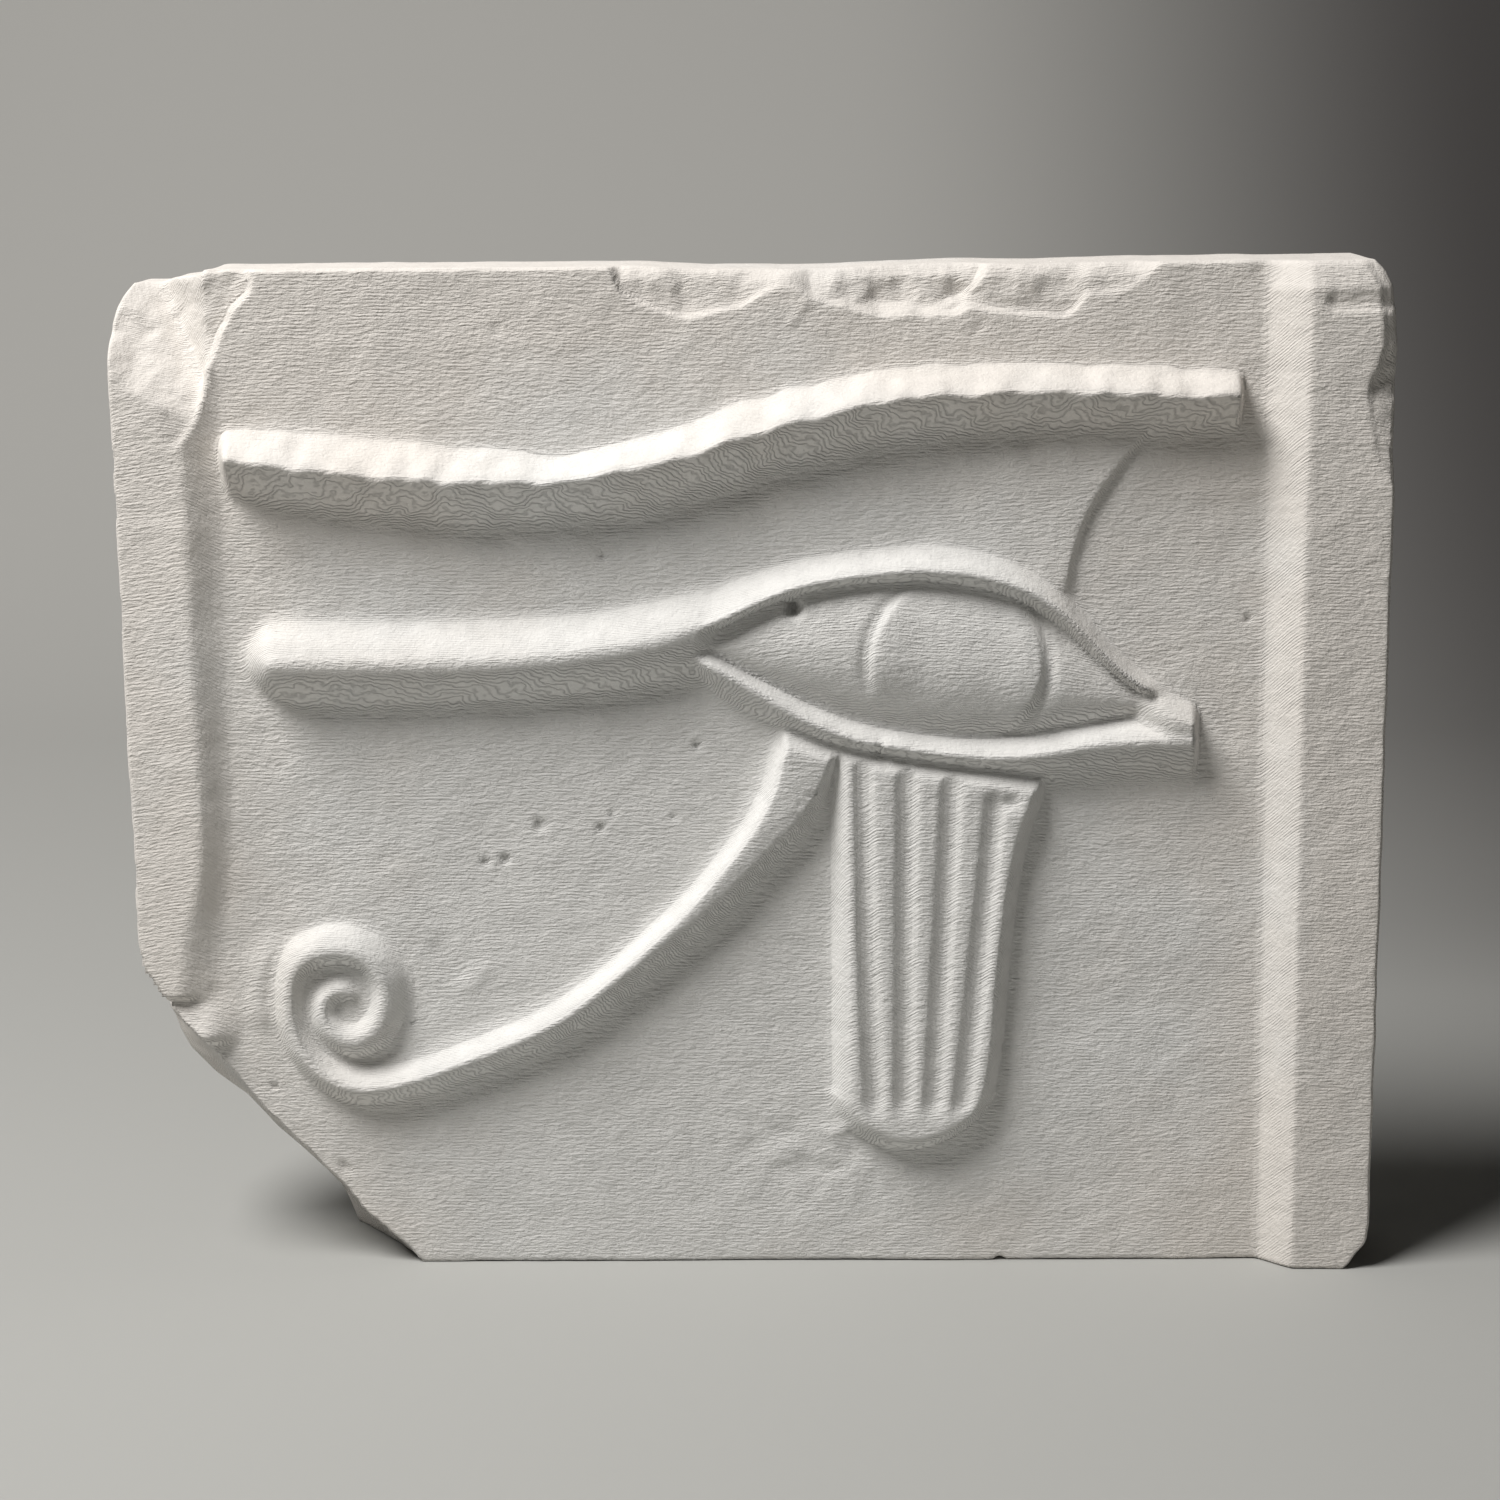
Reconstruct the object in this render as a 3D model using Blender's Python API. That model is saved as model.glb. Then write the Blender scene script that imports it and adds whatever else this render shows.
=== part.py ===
# Relief plaque: a small plaster slab that carries a carved eye between two raised borders.
# X runs across the face, Z up, and the carved face looks towards -Y.
# The origin is on the flat underside, at the middle of the slab's width and thickness.

import math

import bmesh
import bpy
import numpy as np
from mathutils import Vector

MM = 0.001

# The slab
PLAQUE_WIDTH = 125.0
PLAQUE_HEIGHT = 102.0
SLAB_THICKNESS = 12.5

# The raised borders: a flat strip, then a slope down to the field
LEFT_BORDER_FLAT = 7.3
LEFT_BORDER_SLOPE = 3.2
LEFT_BORDER_RISE = 2.2
RIGHT_BORDER_FLAT = 8.2
RIGHT_BORDER_SLOPE = 4.0
RIGHT_BORDER_RISE = 2.8

# How far each carved form stands above the field
BROW_RISE = 4.2
LINER_RISE = 3.6
UPPER_LID_RISE = 3.0
LOWER_LID_RISE = 2.7
EYEBALL_EDGE_RISE = 1.0
EYEBALL_BULGE = 1.5
IRIS_STEP = 0.4
SOCKET_STEP = 0.7
ARM_RISE = 2.6
SPIRAL_RISE = 2.2
PANEL_RISE = 2.3
GROOVE_DEPTH = 1.2

# How deep a carved form runs into the slab, so that the two are one body
ROOT_DEPTH = 1.5

# The carving was drawn on a field this wide and on a slab this high, with X from the
# middle of the field and Z from the underside, and it is stretched to the real ones.
DRAWN_FIELD_WIDTH = 102.3
DRAWN_HEIGHT = 102.0

# The eye's two corners in the drawing, and how far it opens above and below their line
EYE_CORNER_OUTER = (-4.6, 64.4)
EYE_CORNER_INNER = (40.2, 58.0)
EYE_OPEN_ABOVE = 9.8
EYE_OPEN_BELOW = 5.6

# The iris: a disc on the eyeball, at this place of the drawing
IRIS_CENTRE = (21.2, 63.2)
IRIS_RADIUS = 9.1
IRIS_INSET = 0.25

# The arm: the path of its crest, from under the lower lid down to the spiral, with the
# share of its lower side's width at each point
ARM_CREST = ((6.0, 57.5, 1.6), (4.2, 54.6, 1.5), (2.9, 50.6, 1.3), (0.4, 46.2, 1.1), (-5.4, 39.0, 1.0),
             (-13.1, 32.0, 1.0), (-21.4, 26.6, 1.0), (-30.0, 22.6, 0.9), (-36.0, 20.9, 0.75))
ARM_UPPER_SIDE = 1.9
ARM_LOWER_SIDE = 3.3

# The spiral at the arm's end, wound clockwise from the lowest point of its outer turn
SPIRAL_CENTRE = (-40.6, 28.5)
SPIRAL_OUTER_RADIUS = 8.0
SPIRAL_INNER_RADIUS = 1.6
SPIRAL_TURNS = 1.5
SPIRAL_SIDE = 1.75

# The fluted panel below the eye
PANEL_LEFT = 9.6
PANEL_TOP_LEFT = 55.2
PANEL_TOP_RIGHT = 52.6
PANEL_TOP_WIDTH = 18.6
PANEL_SHOULDER = 5.5
PANEL_FOOT_WIDTH = 14.2
PANEL_FOOT_RADIUS = 5.5
PANEL_FOOT = 14.4
PANEL_FLARE = 1.4
GROOVE_COUNT = 4
GROOVE_WIDTH_SHARE = 0.65
GROOVE_FOOT_GAP = 2.3

# The broken lower left corner: how much of the underside and of the left side is gone
CORNER_BREAK_WIDTH = 28.2
CORNER_BREAK_HEIGHT = 34.0

# How far the chipped arris on the right side runs down from the top
SIDE_CHIP_LENGTH = 21.5

PLASTER_COLOUR = (0.78, 0.76, 0.73, 1.0)
PLASTER_ROUGHNESS = 0.85
SHARP_ANGLE = 35.0

# Profiles across a carved form, from its first side (-1) over the crest (0) to its
# second side (1), each with its share of the rise. Their feet dip just under the field.
FOOT = -0.03
SHARP_PROFILE = ((-1.0, FOOT), (-0.75, 0.22), (-0.25, 0.84), (0.0, 1.0), (0.3, 0.84), (0.8, 0.2), (1.0, FOOT))
ROUND_PROFILE = ((-1.0, FOOT), (-0.75, 0.36), (-0.4, 0.84), (0.0, 1.0), (0.4, 0.84), (0.75, 0.36), (1.0, FOOT))
DOME_PROFILE = ((-1.0, 0.35), (-0.75, 0.68), (-0.4, 0.93), (0.0, 1.0), (0.4, 0.88), (0.75, 0.55), (1.0, 0.15))
ARM_PROFILE = ((-1.0, FOOT), (-0.6, 0.6), (-0.2, 0.95), (0.0, 1.0), (0.45, 0.88), (0.75, 0.5), (1.0, FOOT))
STEP_PROFILE = ((-1.0, FOOT), (-0.5, 0.5), (0.0, 1.0), (1.0, FOOT))

LEFT_SIDE = -PLAQUE_WIDTH / 2
RIGHT_SIDE = PLAQUE_WIDTH / 2
FIELD_LEFT = LEFT_SIDE + LEFT_BORDER_FLAT + LEFT_BORDER_SLOPE
FIELD_RIGHT = RIGHT_SIDE - RIGHT_BORDER_FLAT - RIGHT_BORDER_SLOPE
FIELD_MIDDLE = (FIELD_LEFT + FIELD_RIGHT) / 2
FIELD_Y = -SLAB_THICKNESS / 2
BACK_Y = SLAB_THICKNESS / 2


def drawn(x, z):
    # A point of the drawing, in the plaque's own millimetres
    across = (FIELD_RIGHT - FIELD_LEFT) / DRAWN_FIELD_WIDTH
    return FIELD_MIDDLE + x * across, z * PLAQUE_HEIGHT / DRAWN_HEIGHT


def clear_scene():
    for obj in list(bpy.data.objects):
        bpy.data.objects.remove(obj, do_unlink=True)


def new_collection(name):
    collection = bpy.data.collections.new(name)
    bpy.context.scene.collection.children.link(collection)
    return collection


def plaster_material():
    material = bpy.data.materials.new("plaster")
    material.use_nodes = True
    shader = material.node_tree.nodes["Principled BSDF"]
    shader.inputs["Base Color"].default_value = PLASTER_COLOUR
    shader.inputs["Roughness"].default_value = PLASTER_ROUGHNESS
    shader.inputs["Metallic"].default_value = 0.0
    return material


def hide_cutter(obj):
    obj.hide_render = True
    obj.display_type = "WIRE"
    return obj


def loft(name, sections, collection):
    # Skins equal rings of (x, y, z) points in millimetres into one closed body
    mesh = bpy.data.meshes.new(name)
    body = bmesh.new()
    rings = [[body.verts.new(Vector(point) * MM) for point in ring] for ring in sections]
    for ring, following in zip(rings, rings[1:]):
        for i in range(len(ring)):
            j = (i + 1) % len(ring)
            body.faces.new((ring[i], ring[j], following[j], following[i]))
    body.faces.new(rings[0])
    body.faces.new(rings[-1])
    bmesh.ops.triangulate(body, faces=body.faces)
    bmesh.ops.recalc_face_normals(body, faces=body.faces)
    body.to_mesh(mesh)
    body.free()
    mesh.shade_smooth()
    mesh.set_sharp_from_angle(angle=math.radians(SHARP_ANGLE))
    obj = bpy.data.objects.new(name, mesh)
    collection.objects.link(obj)
    return obj


def smooth_rows(rows, count):
    # Rows of numbers read from a Catmull-Rom curve through the given ones
    rows = np.array(rows, float)
    padded = np.vstack([2 * rows[0] - rows[1], rows, 2 * rows[-1] - rows[-2]])
    places = np.linspace(0, len(rows) - 1, count)
    start = np.minimum(places.astype(int), len(rows) - 2)
    t = (places - start)[:, None]
    a, b, c, d = (padded[start + step] for step in range(4))
    return 0.5 * (2 * b + (c - a) * t + (2 * a - 5 * b + 4 * c - d) * t**2
                  + (3 * b - a - 3 * c + d) * t**3)


def carved_form(name, stations, profile, collection):
    # A station is the two ends of the first side, of the crest and of the second side in
    # the drawing, then the rise there. The form's root runs into the slab.
    sections = []
    for first_x, first_z, crest_x, crest_z, second_x, second_z, rise in stations:
        section = []
        for share, height in profile:
            side_x, side_z = (first_x, first_z) if share < 0 else (second_x, second_z)
            x, z = drawn(crest_x + (side_x - crest_x) * abs(share), crest_z + (side_z - crest_z) * abs(share))
            section.append((x, FIELD_Y - rise * height, z))
        root = FIELD_Y + ROOT_DEPTH
        section.append((section[-1][0], root, section[-1][2]))
        section.append((section[0][0], root, section[0][2]))
        sections.append(section)
    return loft(name, sections, collection)


def upright_stations(rows, rise, count):
    # Rows of x, upper side, crest and lower side, for forms that run across the face
    return [(x, upper, x, crest, x, lower, rise * share)
            for x, upper, crest, lower, share in smooth_rows(rows, count)]


def slab(collection):
    # The plan of slab and borders, extruded up the plaque's height
    plan = ((LEFT_SIDE, BACK_Y), (RIGHT_SIDE, BACK_Y),
            (RIGHT_SIDE, FIELD_Y - RIGHT_BORDER_RISE),
            (RIGHT_SIDE - RIGHT_BORDER_FLAT, FIELD_Y - RIGHT_BORDER_RISE),
            (FIELD_RIGHT, FIELD_Y), (FIELD_LEFT, FIELD_Y),
            (LEFT_SIDE + LEFT_BORDER_FLAT, FIELD_Y - LEFT_BORDER_RISE),
            (LEFT_SIDE, FIELD_Y - LEFT_BORDER_RISE))
    return extruded("relief_plaque", plan, PLAQUE_HEIGHT, (0, 0, PLAQUE_HEIGHT / 2), (0, 0, 0), collection)


def extruded(name, outline, depth, place, turn, collection):
    # A flat outline as a filled 2D curve, extruded and made a mesh
    curve = bpy.data.curves.new(name, "CURVE")
    curve.dimensions = "2D"
    curve.fill_mode = "BOTH"
    curve.extrude = depth * MM / 2
    line = curve.splines.new("POLY")
    line.points.add(len(outline) - 1)
    for point, (x, y) in zip(line.points, outline):
        point.co = (x * MM, y * MM, 0, 1)
    line.use_cyclic_u = True
    drawing = bpy.data.objects.new(name + "_outline", curve)
    bpy.context.scene.collection.objects.link(drawing)
    graph = bpy.context.evaluated_depsgraph_get()
    mesh = bpy.data.meshes.new_from_object(drawing.evaluated_get(graph))
    bpy.data.objects.remove(drawing, do_unlink=True)
    welded = bmesh.new()
    welded.from_mesh(mesh)
    bmesh.ops.remove_doubles(welded, verts=welded.verts, dist=0.01 * MM)
    welded.to_mesh(mesh)
    welded.free()
    mesh.shade_flat()
    obj = bpy.data.objects.new(name, mesh)
    obj.location = Vector(place) * MM
    obj.rotation_euler = turn
    collection.objects.link(obj)
    return obj


def brow(collection):
    rows = ((-50.8, 86.4, 83.9, 80.0, 0.95), (-41.0, 86.0, 82.8, 78.2, 1), (-33.0, 85.2, 82.0, 77.2, 1),
            (-25.0, 84.2, 81.6, 76.8, 1), (-17.0, 83.9, 81.8, 77.3, 1), (-9.0, 85.6, 83.2, 78.1, 1),
            (-1.0, 88.4, 85.4, 80.4, 1), (7.0, 90.4, 87.5, 82.7, 1), (15.0, 91.8, 89.2, 84.6, 1),
            (23.0, 92.3, 89.8, 85.5, 1), (31.0, 92.2, 89.9, 85.4, 1), (39.0, 91.8, 89.4, 85.3, 1),
            (48.4, 91.3, 89.2, 85.6, 0.95))
    return carved_form("brow", upright_stations(rows, BROW_RISE, 37), SHARP_PROFILE, collection)


def liner(collection):
    # The long line of paint that runs from the eye's outer corner to the left border
    rows = ((-50.2, 67.0, 63.8, 60.4, 0.7), (-48.8, 67.8, 63.7, 59.0, 1), (-40.0, 67.7, 63.5, 58.6, 1),
            (-30.0, 67.7, 63.5, 58.8, 1), (-22.0, 67.8, 63.8, 59.1, 1), (-14.0, 68.4, 64.7, 59.8, 1),
            (-7.0, 69.8, 65.9, 61.0, 0.95), (-1.0, 71.3, 67.6, 61.8, 0.6))
    return carved_form("liner", upright_stations(rows, LINER_RISE, 29), ROUND_PROFILE, collection)


def upper_lid(collection):
    rows = ((-9.0, 68.0, 66.0, 64.0, 0.5), (-2.0, 71.0, 68.4, 65.6, 1), (4.0, 72.8, 70.7, 69.1, 1),
            (11.6, 74.4, 72.1, 70.1, 1), (20.5, 75.0, 72.6, 70.2, 1), (25.3, 74.2, 71.8, 69.3, 1),
            (29.2, 72.6, 70.0, 67.4, 1), (33.2, 69.3, 66.6, 64.1, 1), (37.2, 65.2, 62.6, 60.5, 0.95),
            (40.5, 62.0, 60.0, 58.2, 0.8), (42.5, 60.4, 59.0, 57.6, 0.4))
    return carved_form("upper_lid", upright_stations(rows, UPPER_LID_RISE, 37), ROUND_PROFILE, collection)


def lower_lid(collection):
    # It widens at the inner corner, where the upper lid runs into it
    rows = ((-7.5, 65.6, 64.6, 62.6, 0.4), (-4.5, 64.8, 63.8, 60.8, 0.9), (-1.3, 63.4, 62.0, 58.4, 1),
            (4.0, 60.6, 58.9, 55.5, 1), (9.5, 58.4, 56.5, 53.5, 1), (15.4, 56.9, 54.8, 52.4, 1),
            (21.4, 56.0, 53.8, 51.5, 1), (28.0, 55.8, 53.8, 50.6, 1), (35.2, 56.9, 54.7, 50.9, 1),
            (39.4, 58.9, 55.2, 51.0, 1), (42.0, 60.6, 55.3, 51.0, 1), (45.2, 59.9, 55.3, 51.1, 1))
    return carved_form("lower_lid", upright_stations(rows, LOWER_LID_RISE, 37), ROUND_PROFILE, collection)


def eye_opening(x):
    # The upper and the lower limit of the eyeball at one place along the eye
    share = min(max((x - EYE_CORNER_OUTER[0]) / (EYE_CORNER_INNER[0] - EYE_CORNER_OUTER[0]), 0.0), 1.0)
    corner = EYE_CORNER_OUTER[1] + (EYE_CORNER_INNER[1] - EYE_CORNER_OUTER[1]) * share
    swell = math.sin(math.pi * share)
    return corner + 0.4 + EYE_OPEN_ABOVE * swell**0.9, corner - 0.2 - EYE_OPEN_BELOW * swell


def eyeball(name, step, inset, collection):
    # A dome between the lids, fuller where the eye is more open
    stations = []
    for x in np.linspace(EYE_CORNER_OUTER[0] + 0.6 + inset, EYE_CORNER_INNER[0] - 0.6 - inset, 17):
        upper, lower = eye_opening(x)
        fullness = (upper - lower) / (EYE_OPEN_ABOVE + EYE_OPEN_BELOW)
        rise = EYEBALL_EDGE_RISE + EYEBALL_BULGE * min(fullness, 1.0) + step
        stations.append((x, upper - inset, x, (upper + lower) / 2, x, lower + inset, rise))
    return carved_form(name, stations, DOME_PROFILE, collection)


def iris(collection):
    # The eyeball again, a step higher and a little smaller, cut to a disc
    raised = eyeball("iris", IRIS_STEP, IRIS_INSET, collection)
    x, z = drawn(*IRIS_CENTRE)
    bpy.ops.mesh.primitive_cylinder_add(
        vertices=40, radius=IRIS_RADIUS * MM, depth=2 * SLAB_THICKNESS * MM,
        location=(x * MM, FIELD_Y * MM, z * MM), rotation=(math.pi / 2, 0, 0))
    disc = hide_cutter(bpy.context.object)
    disc.name = "iris_disc"
    add_boolean(raised, disc, "INTERSECT")
    return raised


def socket_step(collection):
    # The low curved step from the brow down to the upper lid, at the inner corner
    rows = ((26.0, 86.4, 39.9, 86.0, 41.2, 86.0), (24.0, 82.0, 36.9, 82.0, 38.4, 82.0),
            (20.0, 78.2, 34.3, 78.2, 35.8, 78.2), (18.0, 74.4, 33.0, 74.6, 34.5, 74.6),
            (18.0, 71.0, 32.2, 69.8, 33.7, 69.8))
    stations = [(*row, SOCKET_STEP) for row in smooth_rows(rows, 13)]
    return carved_form("socket_step", stations, STEP_PROFILE, collection)


def arm_and_spiral(collection):
    # The crest's path and, at each point of it, the widths of the two sides and the rise
    path = [(x, z, ARM_UPPER_SIDE, ARM_LOWER_SIDE * share, ARM_RISE) for x, z, share in ARM_CREST]
    turned = SPIRAL_TURNS * 2 * math.pi
    for angle in np.linspace(0.15, turned, 22):
        share = angle / turned
        radius = SPIRAL_OUTER_RADIUS + (SPIRAL_INNER_RADIUS - SPIRAL_OUTER_RADIUS) * share
        x = SPIRAL_CENTRE[0] - radius * math.sin(angle)
        z = SPIRAL_CENTRE[1] - radius * math.cos(angle)
        side = SPIRAL_SIDE * (1 - 0.35 * share)
        path.append((x, z, side, side, SPIRAL_RISE))
    path = smooth_rows(path, 3 * len(path))
    along = np.gradient(path[:, :2], axis=0)
    along /= np.linalg.norm(along, axis=1)[:, None]
    stations = []
    for (x, z, first, second, rise), (step_x, step_z) in zip(path, along):
        stations.append((x + step_z * first, z - step_x * first, x, z,
                         x - step_z * second, z + step_x * second, rise))
    return carved_form("arm_and_spiral", stations, ARM_PROFILE, collection)


def panel_outline(grow):
    # The panel's outline in the drawing: narrower downwards, with a round foot
    left = PANEL_LEFT - grow
    right = PANEL_LEFT + PANEL_TOP_WIDTH + grow
    foot_middle = PANEL_LEFT + PANEL_FOOT_WIDTH / 2
    half = PANEL_FOOT_WIDTH / 2 + grow
    bend = PANEL_FOOT + PANEL_FOOT_RADIUS
    drop = PANEL_FOOT_RADIUS + grow
    points = [(left, PANEL_TOP_LEFT), (left, bend)]
    for step in range(1, 9):
        angle = math.pi * step / 9
        points.append((foot_middle - half * math.cos(angle), bend - drop * math.sin(angle)))
    points.append((foot_middle + half, bend))
    points.append((right, PANEL_TOP_RIGHT - PANEL_SHOULDER))
    points.append((right + 0.6, PANEL_TOP_RIGHT))
    return points


def panel(collection):
    # A low plate with sloping sides
    rings = []
    for grow, rise in ((PANEL_FLARE, -ROOT_DEPTH), (PANEL_FLARE, 0.0), (PANEL_FLARE / 3, PANEL_RISE / 2),
                       (0.0, PANEL_RISE * 0.85), (-PANEL_FLARE / 3, PANEL_RISE)):
        outline = [drawn(*point) for point in panel_outline(grow)]
        rings.append([(x, FIELD_Y - rise, z) for x, z in outline])
    return loft("panel", rings, collection)


def groove_cutters(collection):
    # Rounded grooves down the panel, closing up as it narrows, that leave upright ribs
    bodies = []
    top_spacing = PANEL_TOP_WIDTH / (GROOVE_COUNT + 1)
    foot_spacing = PANEL_FOOT_WIDTH / (GROOVE_COUNT + 1)
    for i in range(1, GROOVE_COUNT + 1):
        foot = PANEL_FOOT + GROOVE_FOOT_GAP + 0.4 * abs(2 * i - GROOVE_COUNT - 1)
        rows = ((top_spacing, PANEL_TOP_LEFT + 2, 1), (top_spacing, PANEL_TOP_RIGHT, 1),
                (foot_spacing, foot + 1.5, 1), (foot_spacing, foot, 0.3))
        sections = []
        for spacing, z, depth in rows:
            half = spacing * GROOVE_WIDTH_SHARE / 2
            section = []
            for share, height in ROUND_PROFILE:
                x, place_z = drawn(PANEL_LEFT + i * spacing + half * share, z)
                section.append((x, FIELD_Y - PANEL_RISE - 0.05 + GROOVE_DEPTH * height * depth, place_z))
            mouth = FIELD_Y - PANEL_RISE - 2
            section.append((section[-1][0], mouth, section[-1][2]))
            section.append((section[0][0], mouth, section[0][2]))
            sections.append(section)
        bodies.append(hide_cutter(loft(f"groove_{i}", sections, collection)))
    return bodies


def break_cutter(name, outline, height_at, collection, flare=0.6):
    # A prism over an outline on the face, down to a tilted floor. Its mouth is wider than
    # its floor, so that the broken edge slopes.
    middle = Vector((sum(x for x, _ in outline), sum(z for _, z in outline))) / len(outline)
    mouth, floor = [], []
    for point in outline:
        outward = (Vector(point) - middle).normalized() * flare
        floor.append((point[0], FIELD_Y - height_at(*point), point[1]))
        mouth.append((point[0] + 4 * outward.x, FIELD_Y - 6.0, point[1] + 4 * outward.y))
    return hide_cutter(loft(name, [mouth, floor], collection))


def corner_break(collection):
    # The lost lower left corner. Each row is a share of the lost width and height on the
    # face, and the same on the back, where the fracture leans outwards.
    rows = ((0.00, 1.04, 0.00, 0.94), (0.12, 0.83, 0.05, 0.74), (0.24, 0.71, 0.14, 0.60),
            (0.34, 0.58, 0.29, 0.50), (0.53, 0.41, 0.50, 0.38), (0.71, 0.24, 0.64, 0.21),
            (0.84, 0.13, 0.67, 0.09), (1.01, -0.01, 0.69, -0.01))
    beyond = 4.0
    face, back = [], []
    for face_x, face_z, back_x, back_z in rows:
        face.append((LEFT_SIDE + face_x * CORNER_BREAK_WIDTH, FIELD_Y, face_z * CORNER_BREAK_HEIGHT))
        back.append((LEFT_SIDE + back_x * CORNER_BREAK_WIDTH, BACK_Y, back_z * CORNER_BREAK_HEIGHT))
    rings = []
    for reach in (-0.45, 1.1):
        ring = [tuple(np.array(a) + (np.array(b) - np.array(a)) * reach) for a, b in zip(face, back)]
        ring[0] = (LEFT_SIDE - beyond, ring[0][1], ring[0][2])
        ring[-1] = (ring[-1][0], ring[-1][1], -beyond)
        ring.append((LEFT_SIDE - beyond, ring[0][1], -beyond))
        rings.append(ring)
    return hide_cutter(loft("corner_break", rings, collection))


def edge_breaks(collection):
    # Spalls along the top edge and the right side, placed from the plaque's own edges
    top = PLAQUE_HEIGHT
    beyond = top + 3
    left, right = LEFT_SIDE, RIGHT_SIDE
    upper_left = ((left - 3, top - 8.6), (left + 3.5, top - 12), (left + 7.2, top - 16.2),
                  (left + 9.6, top - 10), (left + 12, top - 4.6), (left + 14.2, top - 1.6),
                  (left + 14.4, beyond), (left - 3, beyond))
    first_chip = ((-13.4, beyond), (-12.4, top - 2.5), (-9.5, top - 3.8), (-6.5, top - 5.0),
                  (-2.7, top - 4.1), (6.2, top - 3.2), (6.4, beyond))
    second_chip = ((5.6, beyond), (5.4, top - 3.4), (12.2, top - 4.7), (30.3, top - 5.2),
                   (32.6, top - 3.2), (38.5, top - 2.0), (39.5, beyond))
    upper_right = ((right - 8.6, beyond), (right - 7.4, top - 4.4), (right - 2.0, top - 4.8),
                   (right + 3, top - 4.2), (right + 3, beyond))
    low = SIDE_CHIP_LENGTH
    side_chip = ((right - 1.9, top - 0.05 * low), (right - 1.5, top - 0.35 * low), (right - 3.1, top - 0.59 * low),
                 (right - 3.0, top - 0.74 * low), (right - 2.2, top - 0.91 * low), (right + 3, top - low),
                 (right + 3, top + 0.5))
    return [
        break_cutter("upper_left_break", upper_left,
                     lambda x, z: LEFT_BORDER_RISE - 0.18 * (x - left) - 0.2 * (z - top + 9), collection),
        break_cutter("first_chip", first_chip, lambda x, z: -0.5 - 0.12 * (z - top + 5), collection),
        break_cutter("second_chip", second_chip, lambda x, z: -0.5 - 0.16 * (z - top + 5), collection),
        break_cutter("upper_right_break", upper_right,
                     lambda x, z: RIGHT_BORDER_RISE - 0.7 - 0.3 * (z - top + 4.5), collection),
        break_cutter("side_chip", side_chip,
                     lambda x, z: RIGHT_BORDER_RISE - 0.2 - 0.8 * (x - right + 3.1), collection),
    ]


def corner_chips(collection):
    # The two right-hand corners and the tip of the upper left one, each cut off through
    # the slab's whole thickness
    top, left, right = PLAQUE_HEIGHT, LEFT_SIDE, RIGHT_SIDE
    depth = 3 * SLAB_THICKNESS
    turn = (math.pi / 2, 0, 0)
    outlines = {
        "lower_right_chip": ((right - 3.2, -2), (right - 1.9, 1), (right + 2, 5.2), (right + 2, -2)),
        "upper_right_chip": ((right - 4.6, top + 2), (right - 1.3, top - 1.2), (right + 2, top - 9),
                             (right + 2, top + 2)),
        "upper_left_chip": ((left - 2, top + 2), (left - 2, top - 8.5), (left + 0.2, top - 3.4),
                            (left + 1.4, top - 1.4), (left + 4.0, top - 1.2), (left + 9.5, top + 0.2),
                            (left + 10, top + 2)),
    }
    return [hide_cutter(extruded(name, outline, depth, (0, 0, 0), turn, collection))
            for name, outline in outlines.items()]


def add_boolean(target, other, operation):
    change = target.modifiers.new(f"{operation.lower()}_{other.name}", "BOOLEAN")
    change.operation = operation
    change.solver = "EXACT"
    change.object = other


def main():
    clear_scene()
    plaque_parts = new_collection("relief_plaque")
    carving_parts = new_collection("carving")
    cutters = new_collection("cutters")
    plaque = slab(plaque_parts)
    plaque.data.materials.append(plaster_material())
    carving = [
        brow(carving_parts), liner(carving_parts), upper_lid(carving_parts), lower_lid(carving_parts),
        eyeball("eyeball", 0.0, 0.0, carving_parts), iris(carving_parts), socket_step(carving_parts),
        arm_and_spiral(carving_parts),
    ]
    plate = panel(carving_parts)
    for groove in groove_cutters(cutters):
        add_boolean(plate, groove, "DIFFERENCE")
    for form in [*carving, plate]:
        add_boolean(plaque, hide_cutter(form), "UNION")
    for cutter in [*corner_chips(cutters), corner_break(cutters), *edge_breaks(cutters)]:
        add_boolean(plaque, cutter, "DIFFERENCE")


main()
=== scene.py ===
# Plaster relief plaque: the cast slab with its carved eye, dressed for the photograph.
# Lengths are in millimetres until a mesh is made, X across the face and Z up, and the
# face looks towards -Y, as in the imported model.
import math

import bpy
import numpy as np
from mathutils import Matrix, Vector


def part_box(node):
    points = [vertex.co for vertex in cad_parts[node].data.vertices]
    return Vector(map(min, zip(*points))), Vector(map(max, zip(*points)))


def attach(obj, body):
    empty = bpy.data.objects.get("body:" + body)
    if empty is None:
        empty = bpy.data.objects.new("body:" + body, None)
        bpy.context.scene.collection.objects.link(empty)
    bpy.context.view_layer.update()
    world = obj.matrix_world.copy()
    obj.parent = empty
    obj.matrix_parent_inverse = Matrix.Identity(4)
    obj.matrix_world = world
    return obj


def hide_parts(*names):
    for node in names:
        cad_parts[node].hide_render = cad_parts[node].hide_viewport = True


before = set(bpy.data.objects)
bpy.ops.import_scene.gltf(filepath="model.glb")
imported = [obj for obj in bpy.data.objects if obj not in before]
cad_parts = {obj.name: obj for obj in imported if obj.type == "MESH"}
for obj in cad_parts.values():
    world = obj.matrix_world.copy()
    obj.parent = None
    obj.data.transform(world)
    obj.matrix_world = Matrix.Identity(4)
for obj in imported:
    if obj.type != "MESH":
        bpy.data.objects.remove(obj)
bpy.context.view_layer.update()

mm = 0.001
lowCorner, highCorner = (np.array(corner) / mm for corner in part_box("relief_plaque"))

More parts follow.
